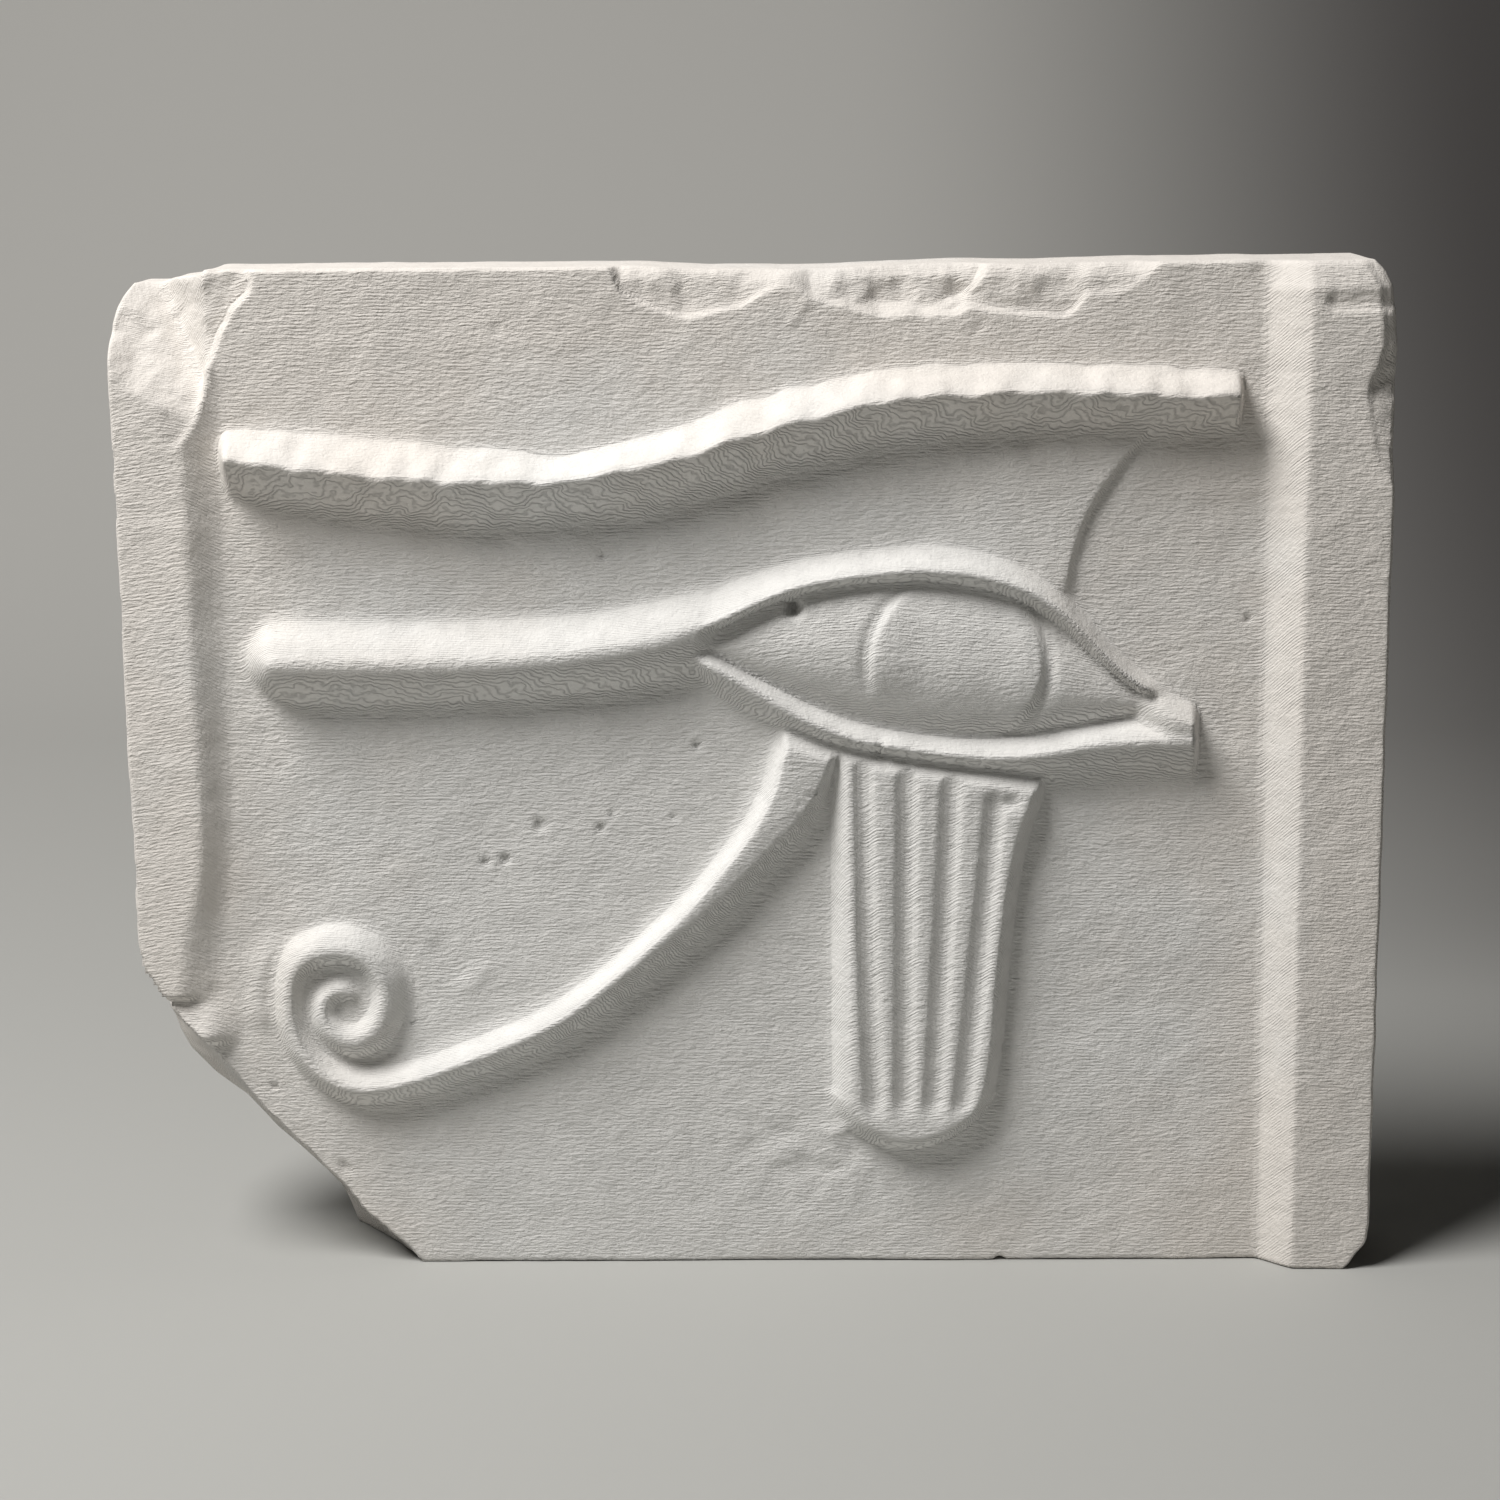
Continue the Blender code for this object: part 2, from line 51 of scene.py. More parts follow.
slabShape = {
    "leftSide": lowCorner[0],
    "rightSide": highCorner[0],
    "height": highCorner[2],
    "backY": highCorner[1],
    "fieldY": -highCorner[1],         # the sunk field lies as far in front as the back lies behind
    "columns": 324,
    "rows": 264,
    "edgeRounding": 0.42,
    "rimSteps": (0.0, 0.1, 0.24, 0.42, 0.68),   # closer rows of points near the outer edge
    "frontMargin": 0.02,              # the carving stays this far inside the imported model's front
    "thinnest": 0.45,
    "wallRings": 5,
    "wallHollow": 0.07,
    "wallHollowCell": 7.0,
    "roundRings": 3,
    "backRings": 3,
    "backRounding": 0.5,
}
sunk = -2.0     # the height of a form beyond its foot, well below the field


# Smooth numbers between the given ones, as a Catmull-Rom curve read at x, flat past the ends
def curveAt(places, values, x):
    places = np.array(places, float)
    values = np.array(values, float)
    cell = np.clip(np.searchsorted(places, x) - 1, 0, len(places) - 2)
    step = places[cell + 1] - places[cell]
    t = np.clip((x - places[cell]) / step, 0, 1)
    slopes = np.gradient(values, places)
    a, b = values[cell], values[cell + 1]
    ta, tb = slopes[cell] * step, slopes[cell + 1] * step
    return ((2 * t**3 - 3 * t**2 + 1) * a + (t**3 - 2 * t**2 + t) * ta
            + (3 * t**2 - 2 * t**3) * b + (t**3 - t**2) * tb)


# 0 below start, 1 above end, and 3t² - 2t³ between them
def easeStep(value, start, end):
    t = np.clip((value - start) / (end - start), 0, 1)
    return t * t * (3 - 2 * t)


# Random numbers on a square lattice, blended with 3t² - 2t³ between its points: -1 to 1
def latticeNoise(x, z, cell, seed):
    table = np.random.default_rng(seed).uniform(-1, 1, (128, 128))
    gx, gz = x / cell + 40.0, z / cell + 40.0
    ix, iz = np.floor(gx).astype(int), np.floor(gz).astype(int)
    tx, tz = gx - ix, gz - iz
    tx, tz = tx * tx * (3 - 2 * tx), tz * tz * (3 - 2 * tz)
    row, nextRow, column, nextColumn = iz % 128, (iz + 1) % 128, ix % 128, (ix + 1) % 128
    low = table[row, column] * (1 - tx) + table[row, nextColumn] * tx
    high = table[nextRow, column] * (1 - tx) + table[nextRow, nextColumn] * tx
    return low * (1 - tz) + high * tz


# Lattice noise at halving cell sizes and heights, added up
def crumble(x, z, cell, octaves, seed):
    total = np.zeros_like(x)
    for octave in range(octaves):
        total += latticeNoise(x, z, cell / 2**octave, seed + octave) / 2**octave
    return total


# The higher of two heights, with a fillet of that size where they meet
def softMax(first, second, fillet):
    near = np.clip(fillet - np.abs(first - second), 0, None) / fillet
    return np.maximum(first, second) + near * near * fillet / 4


def softMin(first, second, fillet):
    return -softMax(-first, -second, fillet)


# Across a ridge, with s 0 on its crest and 1 at its foot: 1 - (√(s² + r²) - r) / (√(1 + r²) - r),
# which is a straight slope with a crest rounded by r, and goes on below 0 past the foot
def ridgeProfile(s, crestRounding):
    r = crestRounding
    return 1 - (np.sqrt(s * s + r * r) - r) / (math.sqrt(1 + r * r) - r)


ridgeMargin = 0.6     # a ridge starts this far before its first row and ends as far past its last


# A ridge that runs across the face. Each row is x, its upper foot, its crest, its lower
# foot and the share of its rise there. Towards its ends s grows to √(s² + e²), with e
# going from 0 to 1 over the end's length, which rounds them off.
def ridgeAcross(x, z, shape):
    places, upper, crest, lower, share = zip(*shape["rows"])
    leftLength, rightLength = shape["endLengths"]
    crestZ = curveAt(places, crest, x)
    above = (z - crestZ) / (curveAt(places, upper, x) - crestZ)
    below = (crestZ - z) / (crestZ - curveAt(places, lower, x))
    fromLeft = (x - places[0] + ridgeMargin) / leftLength
    fromRight = (places[-1] + ridgeMargin - x) / rightLength
    ending = np.clip(1 - np.minimum(fromLeft, fromRight), 0, None)
    s = np.hypot(np.maximum(above, below), ending)
    height = shape["rise"] * curveAt(places, share, x) * ridgeProfile(s, shape["crestRounding"])
    return np.clip(height, sunk, None)


# The carving is laid out on the field, with X from the field's middle
fieldMiddle = -0.85

browShape = {
    "rows": ((-50.6, 86.4, 83.9, 79.7, 0.95), (-41.0, 86.1, 82.8, 78.2, 1), (-33.0, 85.3, 82.0, 77.2, 1),
             (-25.0, 84.2, 81.6, 76.8, 1), (-17.0, 83.9, 81.8, 77.3, 1), (-9.0, 85.6, 83.2, 78.1, 1),
             (-1.0, 88.4, 85.4, 80.4, 1), (7.0, 90.4, 87.5, 82.7, 1), (15.0, 91.8, 89.2, 84.6, 1),
             (23.0, 92.3, 89.8, 85.5, 1), (31.0, 92.2, 89.9, 85.4, 1), (39.0, 91.8, 89.4, 85.3, 1),
             (48.2, 91.3, 89.2, 85.6, 0.95)),
    "rise": 4.15,
    "crestRounding": 0.1,
    "endLengths": (1.3, 0.6),
    "ripple": 0.13,           # oblique ripples, as on a twisted cord worn smooth
    "rippleSpacing": 4.4,
    "rippleLean": 0.9,
    "rippleDrift": 1.6,
    "rippleFades": (0.3, 1.5),     # heights between which the ripples fade downwards
    "crestWander": 0.22,
}


# The brow: a sharp ridge with a wandering crest, less ripple (1 - sin) along oblique lines
def browHeight(x, z):
    shape = browShape
    wave = np.sin(2 * math.pi * (x - shape["rippleLean"] * z) / shape["rippleSpacing"]
                  + shape["rippleDrift"] * latticeNoise(x, z, 9, 11))
    wander = shape["crestWander"] * crumble(x, z * 0.4, 2.4, 2, 12)
    height = ridgeAcross(x, z + wander, shape)
    return height + shape["ripple"] * (wave - 1) * easeStep(height, *shape["rippleFades"])


linerShape = {
    "rows": ((-49.0, 67.0, 63.6, 60.2, 0.8), (-46.0, 67.7, 63.6, 59.2, 1), (-40.0, 67.7, 63.5, 58.6, 1),
             (-30.0, 67.7, 63.5, 58.8, 1), (-22.0, 67.8, 63.8, 59.1, 1), (-14.0, 68.4, 64.7, 59.8, 1),
             (-7.0, 69.8, 65.9, 61.0, 0.92), (-1.0, 71.3, 67.6, 61.8, 0.5)),
    "rise": 3.5,
    "crestRounding": 0.34,
    "endLengths": (3.2, 4.0),
}
upperLidShape = {
    "rows": ((-9.0, 68.4, 66.0, 64.8, 0.5), (-5.0, 69.8, 66.5, 65.3, 0.85), (-2.0, 70.9, 67.6, 66.3, 1),
             (0.9, 71.9, 69.0, 67.7, 1), (4.0, 72.9, 70.3, 68.9, 1), (11.6, 74.2, 71.9, 70.2, 1),
             (20.5, 74.6, 72.2, 70.1, 1), (25.9, 73.5, 71.1, 68.9, 1), (28.4, 72.3, 70.0, 67.8, 0.97),
             (31.0, 70.6, 68.3, 65.9, 0.9), (34.0, 67.4, 65.3, 63.2, 0.84), (37.0, 64.0, 62.3, 60.6, 0.8),
             (39.6, 61.7, 60.4, 59.1, 0.7), (42.0, 60.3, 59.3, 58.2, 0.4)),
    "rise": 2.95,
    "crestRounding": 0.2,
    "endLengths": (3.0, 3.0),
}
lowerLidShape = {
    "rows": ((-5.6, 65.2, 64.3, 62.4, 0.5), (-3.6, 64.9, 63.3, 60.6, 0.95), (-1.1, 63.6, 61.9, 58.6, 1),
             (0.9, 62.5, 60.7, 57.4, 1), (3.4, 61.2, 59.1, 56.2, 1), (5.9, 59.9, 57.6, 55.1, 1),
             (8.4, 58.8, 56.5, 54.2, 1), (10.9, 57.8, 55.6, 53.6, 1), (15.9, 56.7, 54.6, 52.7, 1),
             (20.9, 56.1, 53.9, 51.9, 1), (25.9, 55.9, 53.6, 51.2, 1), (29.0, 56.1, 53.9, 50.5, 1),
             (33.9, 56.8, 54.8, 50.5, 1), (38.9, 57.5, 55.2, 50.7, 1), (44.6, 57.2, 55.3, 50.9, 1)),
    "rise": 2.6,
    "crestRounding": 0.16,
    "endLengths": (1.1, 0.7),
}
lidEndShape = {
    "rows": ((38.0, 61.9, 59.4, 56.8, 0.15), (39.8, 61.0, 58.5, 55.0, 0.6), (41.8, 60.0, 57.4, 53.0, 0.95),
             (44.5, 58.6, 56.6, 52.0, 1)),
    "rise": 2.6,
    "crestRounding": 0.6,
    "endLengths": (1.5, 0.7),
}
eyeShape = {
    "outerCorner": (-4.6, 64.4),
    "innerCorner": (40.2, 58.0),
    "openAbove": 9.8,
    "openBelow": 5.6,
    "edgeRise": 0.5,
    "bulge": 2.5,
    "irisCentre": (21.1, 63.2),
    "irisRadius": 8.9,
    "irisStep": 0.3,
    "irisEdge": 0.8,
    "irisGroove": 0.32,
    "irisFades": (59.5, 63.0),     # heights between which the iris' left edge fades downwards
    "irisSides": (3.0, 7.5),       # how far from the iris' middle its edge starts to show
}


# The eyeball: rise (1 - 0.6 s²) above its middle line and rise (1 - 0.9 s²) below it, s being
# the distance from that line over the opening's half height. The iris shows at its two sides
# as a low step with a groove before it.
def eyeballHeight(x, z):
    shape = eyeShape
    (outerX, outerZ), (innerX, innerZ) = shape["outerCorner"], shape["innerCorner"]
    share = np.clip((x - outerX) / (innerX - outerX), 0.001, 0.999)
    corner = outerZ + (innerZ - outerZ) * share
    swell = np.sin(math.pi * share)
    upper = corner + 0.4 + shape["openAbove"] * swell**0.8
    lower = corner - 0.2 - shape["openBelow"] * swell
    middle, half = (upper + lower) / 2, (upper - lower) / 2
    fullness = (upper - lower) / (shape["openAbove"] + shape["openBelow"])
    rise = shape["edgeRise"] + shape["bulge"] * np.clip(fullness, 0, 1)**0.7
    s = (z - middle) / half
    height = rise * np.where(s > 0, 1 - 0.6 * s * s, 1 - 0.9 * s * s)
    irisX, irisZ = shape["irisCentre"]
    away = np.hypot(x - irisX, z - irisZ) - shape["irisRadius"]
    iris = shape["irisStep"] * easeStep(-away, -0.1, shape["irisEdge"])
    iris = iris - shape["irisGroove"] * np.exp(-((away - 0.3) / 0.5)**2)
    sides = easeStep(np.abs(x - irisX), *shape["irisSides"])
    sides = sides * np.where(x < irisX, easeStep(z, *shape["irisFades"]), 1)
    height = height + iris * sides
    outside = (np.abs(s) > 1.12) | (x < outerX - 1) | (x > innerX + 1)
    return np.where(outside, sunk, np.clip(height, sunk, None))


socketStepShape = {
    # height, X of the edge
    "edge": ((69.0, 31.6), (71.5, 31.8), (74.6, 32.5), (78.2, 33.9), (82.0, 36.4), (86.0, 39.5), (90, 43.1)),
    "start": 17.0,
    "rise": 0.65,
    "drop": 1.1,
    "footFades": (68.0, 70.5),
    "topFades": (87.5, 90.0),
}


# A low plane that climbs to a curved edge at the inner corner and drops off there
def socketStepHeight(x, z):
    shape = socketStepShape
    heights, edges = zip(*shape["edge"])
    edge = curveAt(heights, edges, z)
    climb = easeStep(x, edge - shape["start"], edge)
    fall = easeStep(x, edge, edge + shape["drop"])
    band = easeStep(z, *shape["footFades"]) * (1 - easeStep(z, *shape["topFades"]))
    return shape["rise"] * climb * (1 - fall) * band


armShape = {
    # X and Z of the crest, the widths of its upper or inner slope, of its flat top and of its
    # lower or outer slope, its rise, and 1 for a crisp lower edge or 0 for a round one:
    # down the arm, once round the spiral and in to its knob
    "rows": ((4.6, 55.4, 1.5, 4.5, 1.2, 2.5, 1), (3.9, 53.0, 1.7, 4.3, 1.4, 2.5, 1),
             (3.1, 50.0, 1.8, 3.5, 1.6, 2.5, 1), (0.9, 46.0, 1.7, 2.3, 1.9, 2.5, 1),
             (-2.2, 42.0, 1.6, 1.8, 2.0, 2.5, 1), (-5.7, 38.0, 1.6, 1.3, 2.1, 2.5, 1),
             (-10.1, 33.8, 1.7, 0.8, 2.2, 2.5, 1), (-15.4, 29.3, 1.9, 0.6, 2.2, 2.5, 1),
             (-19.3, 26.5, 2.0, 0.5, 2.2, 2.5, 1), (-24.0, 24.2, 2.1, 0.5, 2.2, 2.4, 1),
             (-31.2, 21.3, 2.2, 0.4, 2.2, 2.4, 1), (-35.2, 20.0, 2.3, 0.3, 2.1, 2.3, 0.9),
             (-37.5, 19.5, 2.4, 0.2, 2.0, 2.3, 0.8), (-39.3, 19.4, 2.4, 0.2, 2.0, 2.2, 0.6),
             (-41.4, 19.9, 2.2, 0.2, 1.9, 2.1, 0.4), (-43.4, 21.2, 1.9, 0.2, 1.8, 1.9, 0.2),
             (-44.9, 23.0, 1.7, 0.2, 1.7, 1.8, 0), (-45.9, 25.1, 1.6, 0.2, 1.7, 1.7, 0),
             (-46.3, 27.6, 1.6, 0.2, 1.7, 1.7, 0), (-46.1, 30.1, 1.6, 0.2, 1.8, 1.8, 0),
             (-45.3, 32.1, 1.6, 0.2, 2.1, 2.0, 0), (-43.7, 33.4, 1.7, 0.2, 2.4, 2.1, 0),
             (-41.4, 33.8, 1.8, 0.2, 2.5, 2.1, 0), (-39.3, 33.4, 1.8, 0.2, 2.5, 2.0, 0),
             (-37.8, 32.2, 1.8, 0.2, 2.4, 1.9, 0), (-36.9, 30.5, 1.8, 0.2, 2.3, 1.8, 0),
             (-36.8, 28.7, 1.8, 0.2, 2.2, 1.8, 0), (-37.2, 26.9, 1.9, 0.2, 2.2, 1.9, 0),
             (-38.2, 25.4, 2.0, 0.2, 2.2, 2.0, 0), (-39.9, 24.6, 2.0, 0.2, 2.2, 2.0, 0),
             (-41.6, 25.1, 1.7, 0.2, 1.9, 1.9, 0), (-42.7, 26.5, 1.5, 0.2, 1.7, 1.8, 0),
             (-42.9, 28.0, 1.5, 0.1, 1.7, 1.7, 0), (-42.3, 29.2, 1.5, 0, 1.7, 1.6, 0),
             (-41.2, 29.7, 1.5, 0, 1.6, 1.5, 0), (-40.3, 29.4, 1.3, 0, 1.3, 1.3, 0)),
    "crown": 0.3,             # how far the flat top has fallen at its lower edge
    "hub": (-41.6, 28.6, 6.0, 0.6),   # X, Z, reach and rise of the low ground inside the spiral
    "piecesPerRow": 4,
}


# Across its path the arm is the highest of what each short piece of it gives: with q the
# distance past the flat top over the slope's width, round sides are rise (1 - q^1.7), a
# crisp arm's upper slope is eased and its lower one is straight. The ground inside the
# spiral is rise (1 - q⁴), q being the distance from its middle over its reach
def armHeight(x, z):
    rows = np.array(armShape["rows"])
    places = np.arange(len(rows))
    fine = np.linspace(0, len(rows) - 1, armShape["piecesPerRow"] * len(rows))
    path = np.stack([curveAt(places, column, fine) for column in rows.T], axis=1)
    height = np.full(x.shape, sunk)
    for start, end in zip(path, path[1:]):
        startX, startZ, upperSide, flat, lowerSide, rise, sharpness = start
        stepX, stepZ = end[0] - startX, end[1] - startZ
        length = math.hypot(stepX, stepZ)
        along = np.clip(((x - startX) * stepX + (z - startZ) * stepZ) / length**2, 0, 1)
        awayX, awayZ = x - startX - along * stepX, z - startZ - along * stepZ
        lateral = (stepZ * awayX - stepX * awayZ) / length
        beyond = (stepX * awayX + stepZ * awayZ) / length
        above = lateral > 0
        past = np.hypot(np.where(above, lateral, np.clip(-lateral - flat, 0, None)), beyond)
        q = np.clip(past / np.where(above, upperSide, lowerSide), 0, 1.6)
        sharp = np.where(above & (q < 1), 1 - easeStep(q, 0, 1), 1 - q)
        profile = rise * (sharpness * sharp + (1 - sharpness) * (1 - q**1.7))
        crown = armShape["crown"] * sharpness * min(flat, 1)
        height = np.maximum(height, profile - crown * np.clip(-lateral / max(flat, 0.1), 0, 1)**2)
    middleX, middleZ, reach, rise = armShape["hub"]
    hub = rise * (1 - (np.hypot(x - middleX, z - middleZ) / reach)**4)
    return softMax(height, np.clip(hub, sunk, None), 0.6)


panelShape = {
    "left": 9.9,
    # height, then X of the right edge
    "right": ((13, 23.0), (18, 24.3), (22, 25.0), (30, 25.6), (36, 26.2), (42, 27.0), (46, 27.9),
              (48.6, 28.8), (50, 29.1), (52, 29.2)),
    "top": 56.0,
    "footRadius": 5.6,
    "foot": 13.2,
    "rise": 2.3,
    "leftFlare": 2.4,
    "rightFlare": 1.6,
    # height, X of the first groove and the spacing of the four
    "grooves": ((14, 13.1, 2.8), (22, 12.75, 3.2), (30, 12.4, 3.6), (38, 12.1, 3.95), (48, 11.85, 4.33),
                (54, 11.7, 4.5)),
    "grooveCount": 4,
    "grooveDepth": 0.68,
    "grooveHalf": 1.5,
    "grooveFoot": 15.6,
    # X, height at which a groove ends there
    "grooveTops": ((12, 54.5), (16, 53.8), (20, 53.1), (22.4, 52.4), (24, 50.6), (30, 50)),
    "cornerNotch": ((24.6, 48.6), (26.7, 49.2), 0.75, 0.5),     # start, end, half width and depth
}


# The fluted panel: a plate whose sides slope, h = rise (1 - (1 - q)²) with q the distance inside
# its outline over the slope's width, less the soft grooves between its ribs
def panelHeight(x, z):
    shape = panelShape
    heights, edges = zip(*shape["right"])
    left, right = shape["left"], curveAt(heights, edges, z)
    middle, half = (left + right) / 2, (right - left) / 2
    across = (x - middle) / half
    flare = shape["leftFlare"] + (shape["rightFlare"] - shape["leftFlare"]) * easeStep(across, -0.8, 0.8)
    downward = np.clip(shape["foot"] + shape["footRadius"] - z, 0, None) / shape["footRadius"]
    reach = (1 - np.hypot(across, downward)) * shape["footRadius"]
    inside = np.where(downward > 0, reach, half * (1 - np.abs(across))) / flare + 0.5
    plate = shape["rise"] * np.where(inside < 1, 1 - (1 - inside)**2, 1)
    plate = np.where(z > shape["top"], sunk, plate)
    heights, first, spacings = zip(*shape["grooves"])
    spacing = curveAt(heights, spacings, z)
    number = (x - curveAt(heights, first, z)) / spacing
    nearest = np.clip(np.round(number), 0, shape["grooveCount"] - 1)
    groove = 1 - easeStep(np.abs(number - nearest) * spacing, 0.0, shape["grooveHalf"])
    ends = easeStep(z, shape["grooveFoot"], shape["grooveFoot"] + 2.6)
    topPlaces, tops = zip(*shape["grooveTops"])
    top = np.interp(x, topPlaces, tops)
    ends = ends * (1 - easeStep(z, top - 1.6, top + 0.2))
    cut = shape["grooveDepth"] * groove * ends
    start, end, width, depth = shape["cornerNotch"]
    notch = depth * np.exp(-(strokeDistance(x, z, start, end) / width)**2)
    return np.clip(plate - np.maximum(cut, notch), sunk, None)


hangingShape = {"top": 2.7, "start": 1.6, "length": 2.2}


# The arm and the panel hang from the lower lid: under its foot they come up from a low start
# to their own height, within top (1 - (1 - q)²), q being the distance below it over the length
def hangingHeight(x, z):
    shape = hangingShape
    places, _, _, foot, _ = zip(*lowerLidShape["rows"])
    q = (curveAt(places, foot, x) - z) / shape["length"]
    limit = shape["start"] + (shape["top"] - shape["start"]) * np.where(q < 1, 1 - (1 - q)**2, 1)
    forms = softMax(armHeight(x, z), panelHeight(x, z), 0.4)
    return np.clip(softMin(forms, limit, 0.3), sunk, None)


borderShape = {
    # z, then X of the face's inner edge and of the slope's foot
    "left": ((0, -59.5, -54.5), (29.4, -58.8, -54.4), (33.8, -58.3, -54.0), (41.7, -56.2, -52.8),
             (52.4, -55.6, -52.1), (63.1, -55.8, -51.9), (79.9, -55.8, -51.6), (102, -55.0, -51.8)),
    "leftRise": 1.5,
    "leftLean": (-55.5, 0.12),      # left of this X the worn face falls this much for each mm
    "right": ((0, 54.7, 51.2), (30, 54.4, 50.9), (59, 54.1, 50.4), (102, 54.1, 49.8)),
    "rightRise": 2.95,
    "rightEasing": 0.35,            # the eased share of the right slope, which is straight otherwise
}


# The borders: a flat strip and an eased slope down to the field; the left one is worn outwards
def borderHeight(x, z):
    shape = borderShape
    heights, edges, feet = zip(*shape["left"])
    left = shape["leftRise"] * (1 - easeStep(x, curveAt(heights, edges, z), curveAt(heights, feet, z)))
    leanFrom, lean = shape["leftLean"]
    left = left - lean * np.clip(leanFrom - x, 0, None)
    heights, edges, feet = zip(*shape["right"])
    edge, foot = curveAt(heights, edges, z), curveAt(heights, feet, z)
    slope = np.clip((x - foot) / (edge - foot), 0, 1)
    eased = shape["rightEasing"]
    right = shape["rightRise"] * (eased * easeStep(slope, 0, 1) + (1 - eased) * slope)
    return left + right


# The distance from every point to a straight stroke
def strokeDistance(x, z, start, end):
    stepX, stepZ = end[0] - start[0], end[1] - start[1]
    along = np.clip(((x - start[0]) * stepX + (z - start[1]) * stepZ) / (stepX**2 + stepZ**2), 0, 1)
    return np.hypot(x - start[0] - along * stepX, z - start[1] - along * stepZ)


detailShape = {
    # start, end, half width and height of soft ridges (above 0) and cuts (below 0)
    "strokes": (((43.5, 79.3), (50.5, 79.8), 0.9, 0.16), ((5.8, 98.7), (4.1, 96.2), 0.3, 0.16),
                ((12.7, 55.3), (12.4, 54.0), 0.3, -0.4), ((22.7, 96.2), (21.6, 94.9), 0.35, -0.15),
                ((-32.0, 33.4), (-30.2, 31.0), 1.0, -0.2), ((-29.5, 29.8), (-27.2, 31.6), 0.9, 0.16),
                ((7.8, 14.0), (9.4, 14.6), 0.6, 0.2), ((4.6, 11.2), (7.4, 9.8), 0.5, -0.12)),
    # place, radius and depth of pits that the casting left
    "pits": ((4.2, 68.6, 0.75, 1.6), (-14.6, 73.7, 0.45, 0.4), (-5.6, 54.6, 0.45, 0.4),
             (-21.4, 46.5, 0.7, 0.35), (-15.3, 46.2, 0.5, 0.35), (-14.1, 47.7, 0.4, 0.25),
             (-8.0, 47.3, 0.4, 0.25), (-27.0, 42.8, 0.5, 0.35), (-25.0, 43.0, 0.55, 0.4),
             (-35.0, 26.0, 0.3, 0.3), (-49.3, 19.2, 0.4, 0.3), (-42.6, 10.6, 0.5, 0.3),
             (-42.0, 10.2, 0.4, 0.25), (49.0, 67.1, 0.35, 0.4), (15.0, 62.6, 0.4, 0.15),
             (25.0, 23.1, 0.25, 0.25), (-24.4, 95.9, 0.7, 0.12), (55.9, 98.2, 0.5, 0.2)),
    # its sweep starts and ends between these angles, in degrees from the right
    "ghostTurn": {"centre": (-41.25, 28.5), "radius": 9.2, "width": 1.3, "rise": 0.42,
                  "starts": (125, 150), "ends": (185, 212)},
    "roughPatch": {"centre": (4.5, 11.5), "reach": (14.0, 7.0), "height": 0.13},
}


# Strokes and pits on the face, a faint earlier turn along the spiral's left side, h = rise exp(-d²)
# with d the distance from its circle over its width, and a rough patch below the panel
def detailHeight(x, z, height):
    for start, end, width, rise in detailShape["strokes"]:
        height = height + rise * np.exp(-(strokeDistance(x, z, start, end) / width)**2)
    for pitX, pitZ, radius, depth in detailShape["pits"]:
        away = np.hypot(x - pitX, z - pitZ) / radius
        height = height - depth * (1 - easeStep(away, 0.45, 1.25))
    ghost = detailShape["ghostTurn"]
    centreX, centreZ = ghost["centre"]
    away = (np.hypot(x - centreX, z - centreZ) - ghost["radius"]) / ghost["width"]
    angle = np.degrees(np.arctan2(z - centreZ, x - centreX)) % 360
    sweep = easeStep(angle, *ghost["starts"]) * (1 - easeStep(angle, *ghost["ends"]))
    height = height + ghost["rise"] * np.exp(-away**2) * sweep
    patch = detailShape["roughPatch"]
    (centreX, centreZ), (reachX, reachZ) = patch["centre"], patch["reach"]
    reach = np.hypot((x - centreX) / reachX, (z - centreZ) / reachZ)
    return height + patch["height"] * crumble(x, z, 2.0, 3, 31) * (1 - easeStep(reach, 0.4, 1))


topChipShape = {
    # X, height of the broken lip, depth of its step and fall of the broken floor for each mm up
    "lip": ((-14.5, 103, 0.0, 0.0), (-13.2, 101.6, 0.4, 0.0), (-12.3, 99.5, 0.55, 0.0),
            (-10.0, 98.2, 0.6, 0.0), (-8.0, 97.4, 0.6, 0.0), (-6.3, 97.0, 0.65, 0.0),
            (-4.0, 97.4, 0.6, 0.0), (-1.0, 97.9, 0.55, 0.08), (1.0, 99.2, 0.3, 0.4),
            (3.0, 99.9, 0.2, 0.6), (5.2, 99.6, 0.3, 0.6), (6.0, 98.8, 0.55, 0.5),
            (8.0, 98.1, 0.6, 0.3), (10.5, 97.7, 0.65, 0.1), (12.5, 97.1, 0.75, 0.08),
            (20.0, 97.0, 0.85, 0.08), (21.2, 97.7, 0.8, 0.05), (25.0, 97.3, 0.7, 0.0),
            (30.5, 96.7, 0.7, 0.0), (31.8, 97.6, 0.6, 0.0), (32.6, 98.8, 0.45, 0.0),
            (35.0, 98.9, 0.5, 0.02), (37.8, 99.9, 0.35, 0.0), (39.6, 101.8, 0.2, 0.0),
            (41.0, 103, 0.0, 0.0)),
    "lipRaggedness": 0.2,
    "stepWidth": 0.45,
    "roundFrom": 100.6,
    "roundFall": 0.55,
    # height, X of the ledge between the lower floor on the left and the higher one
    "ledge": ((97.6, 17.6), (98.2, 19.4), (98.9, 21.0), (100.2, 22.2), (102.0, 23.2)),
    "ledgeRise": 0.75,
    "ledgeStarts": (7.0, 11.0),
    "ledgeRaggedness": 0.3,
    "pocket": ((31.0, 99.8), (31.8, 101.8), 0.9, 0.5),     # start, end, half width and depth
    "roughness": 0.27,
}


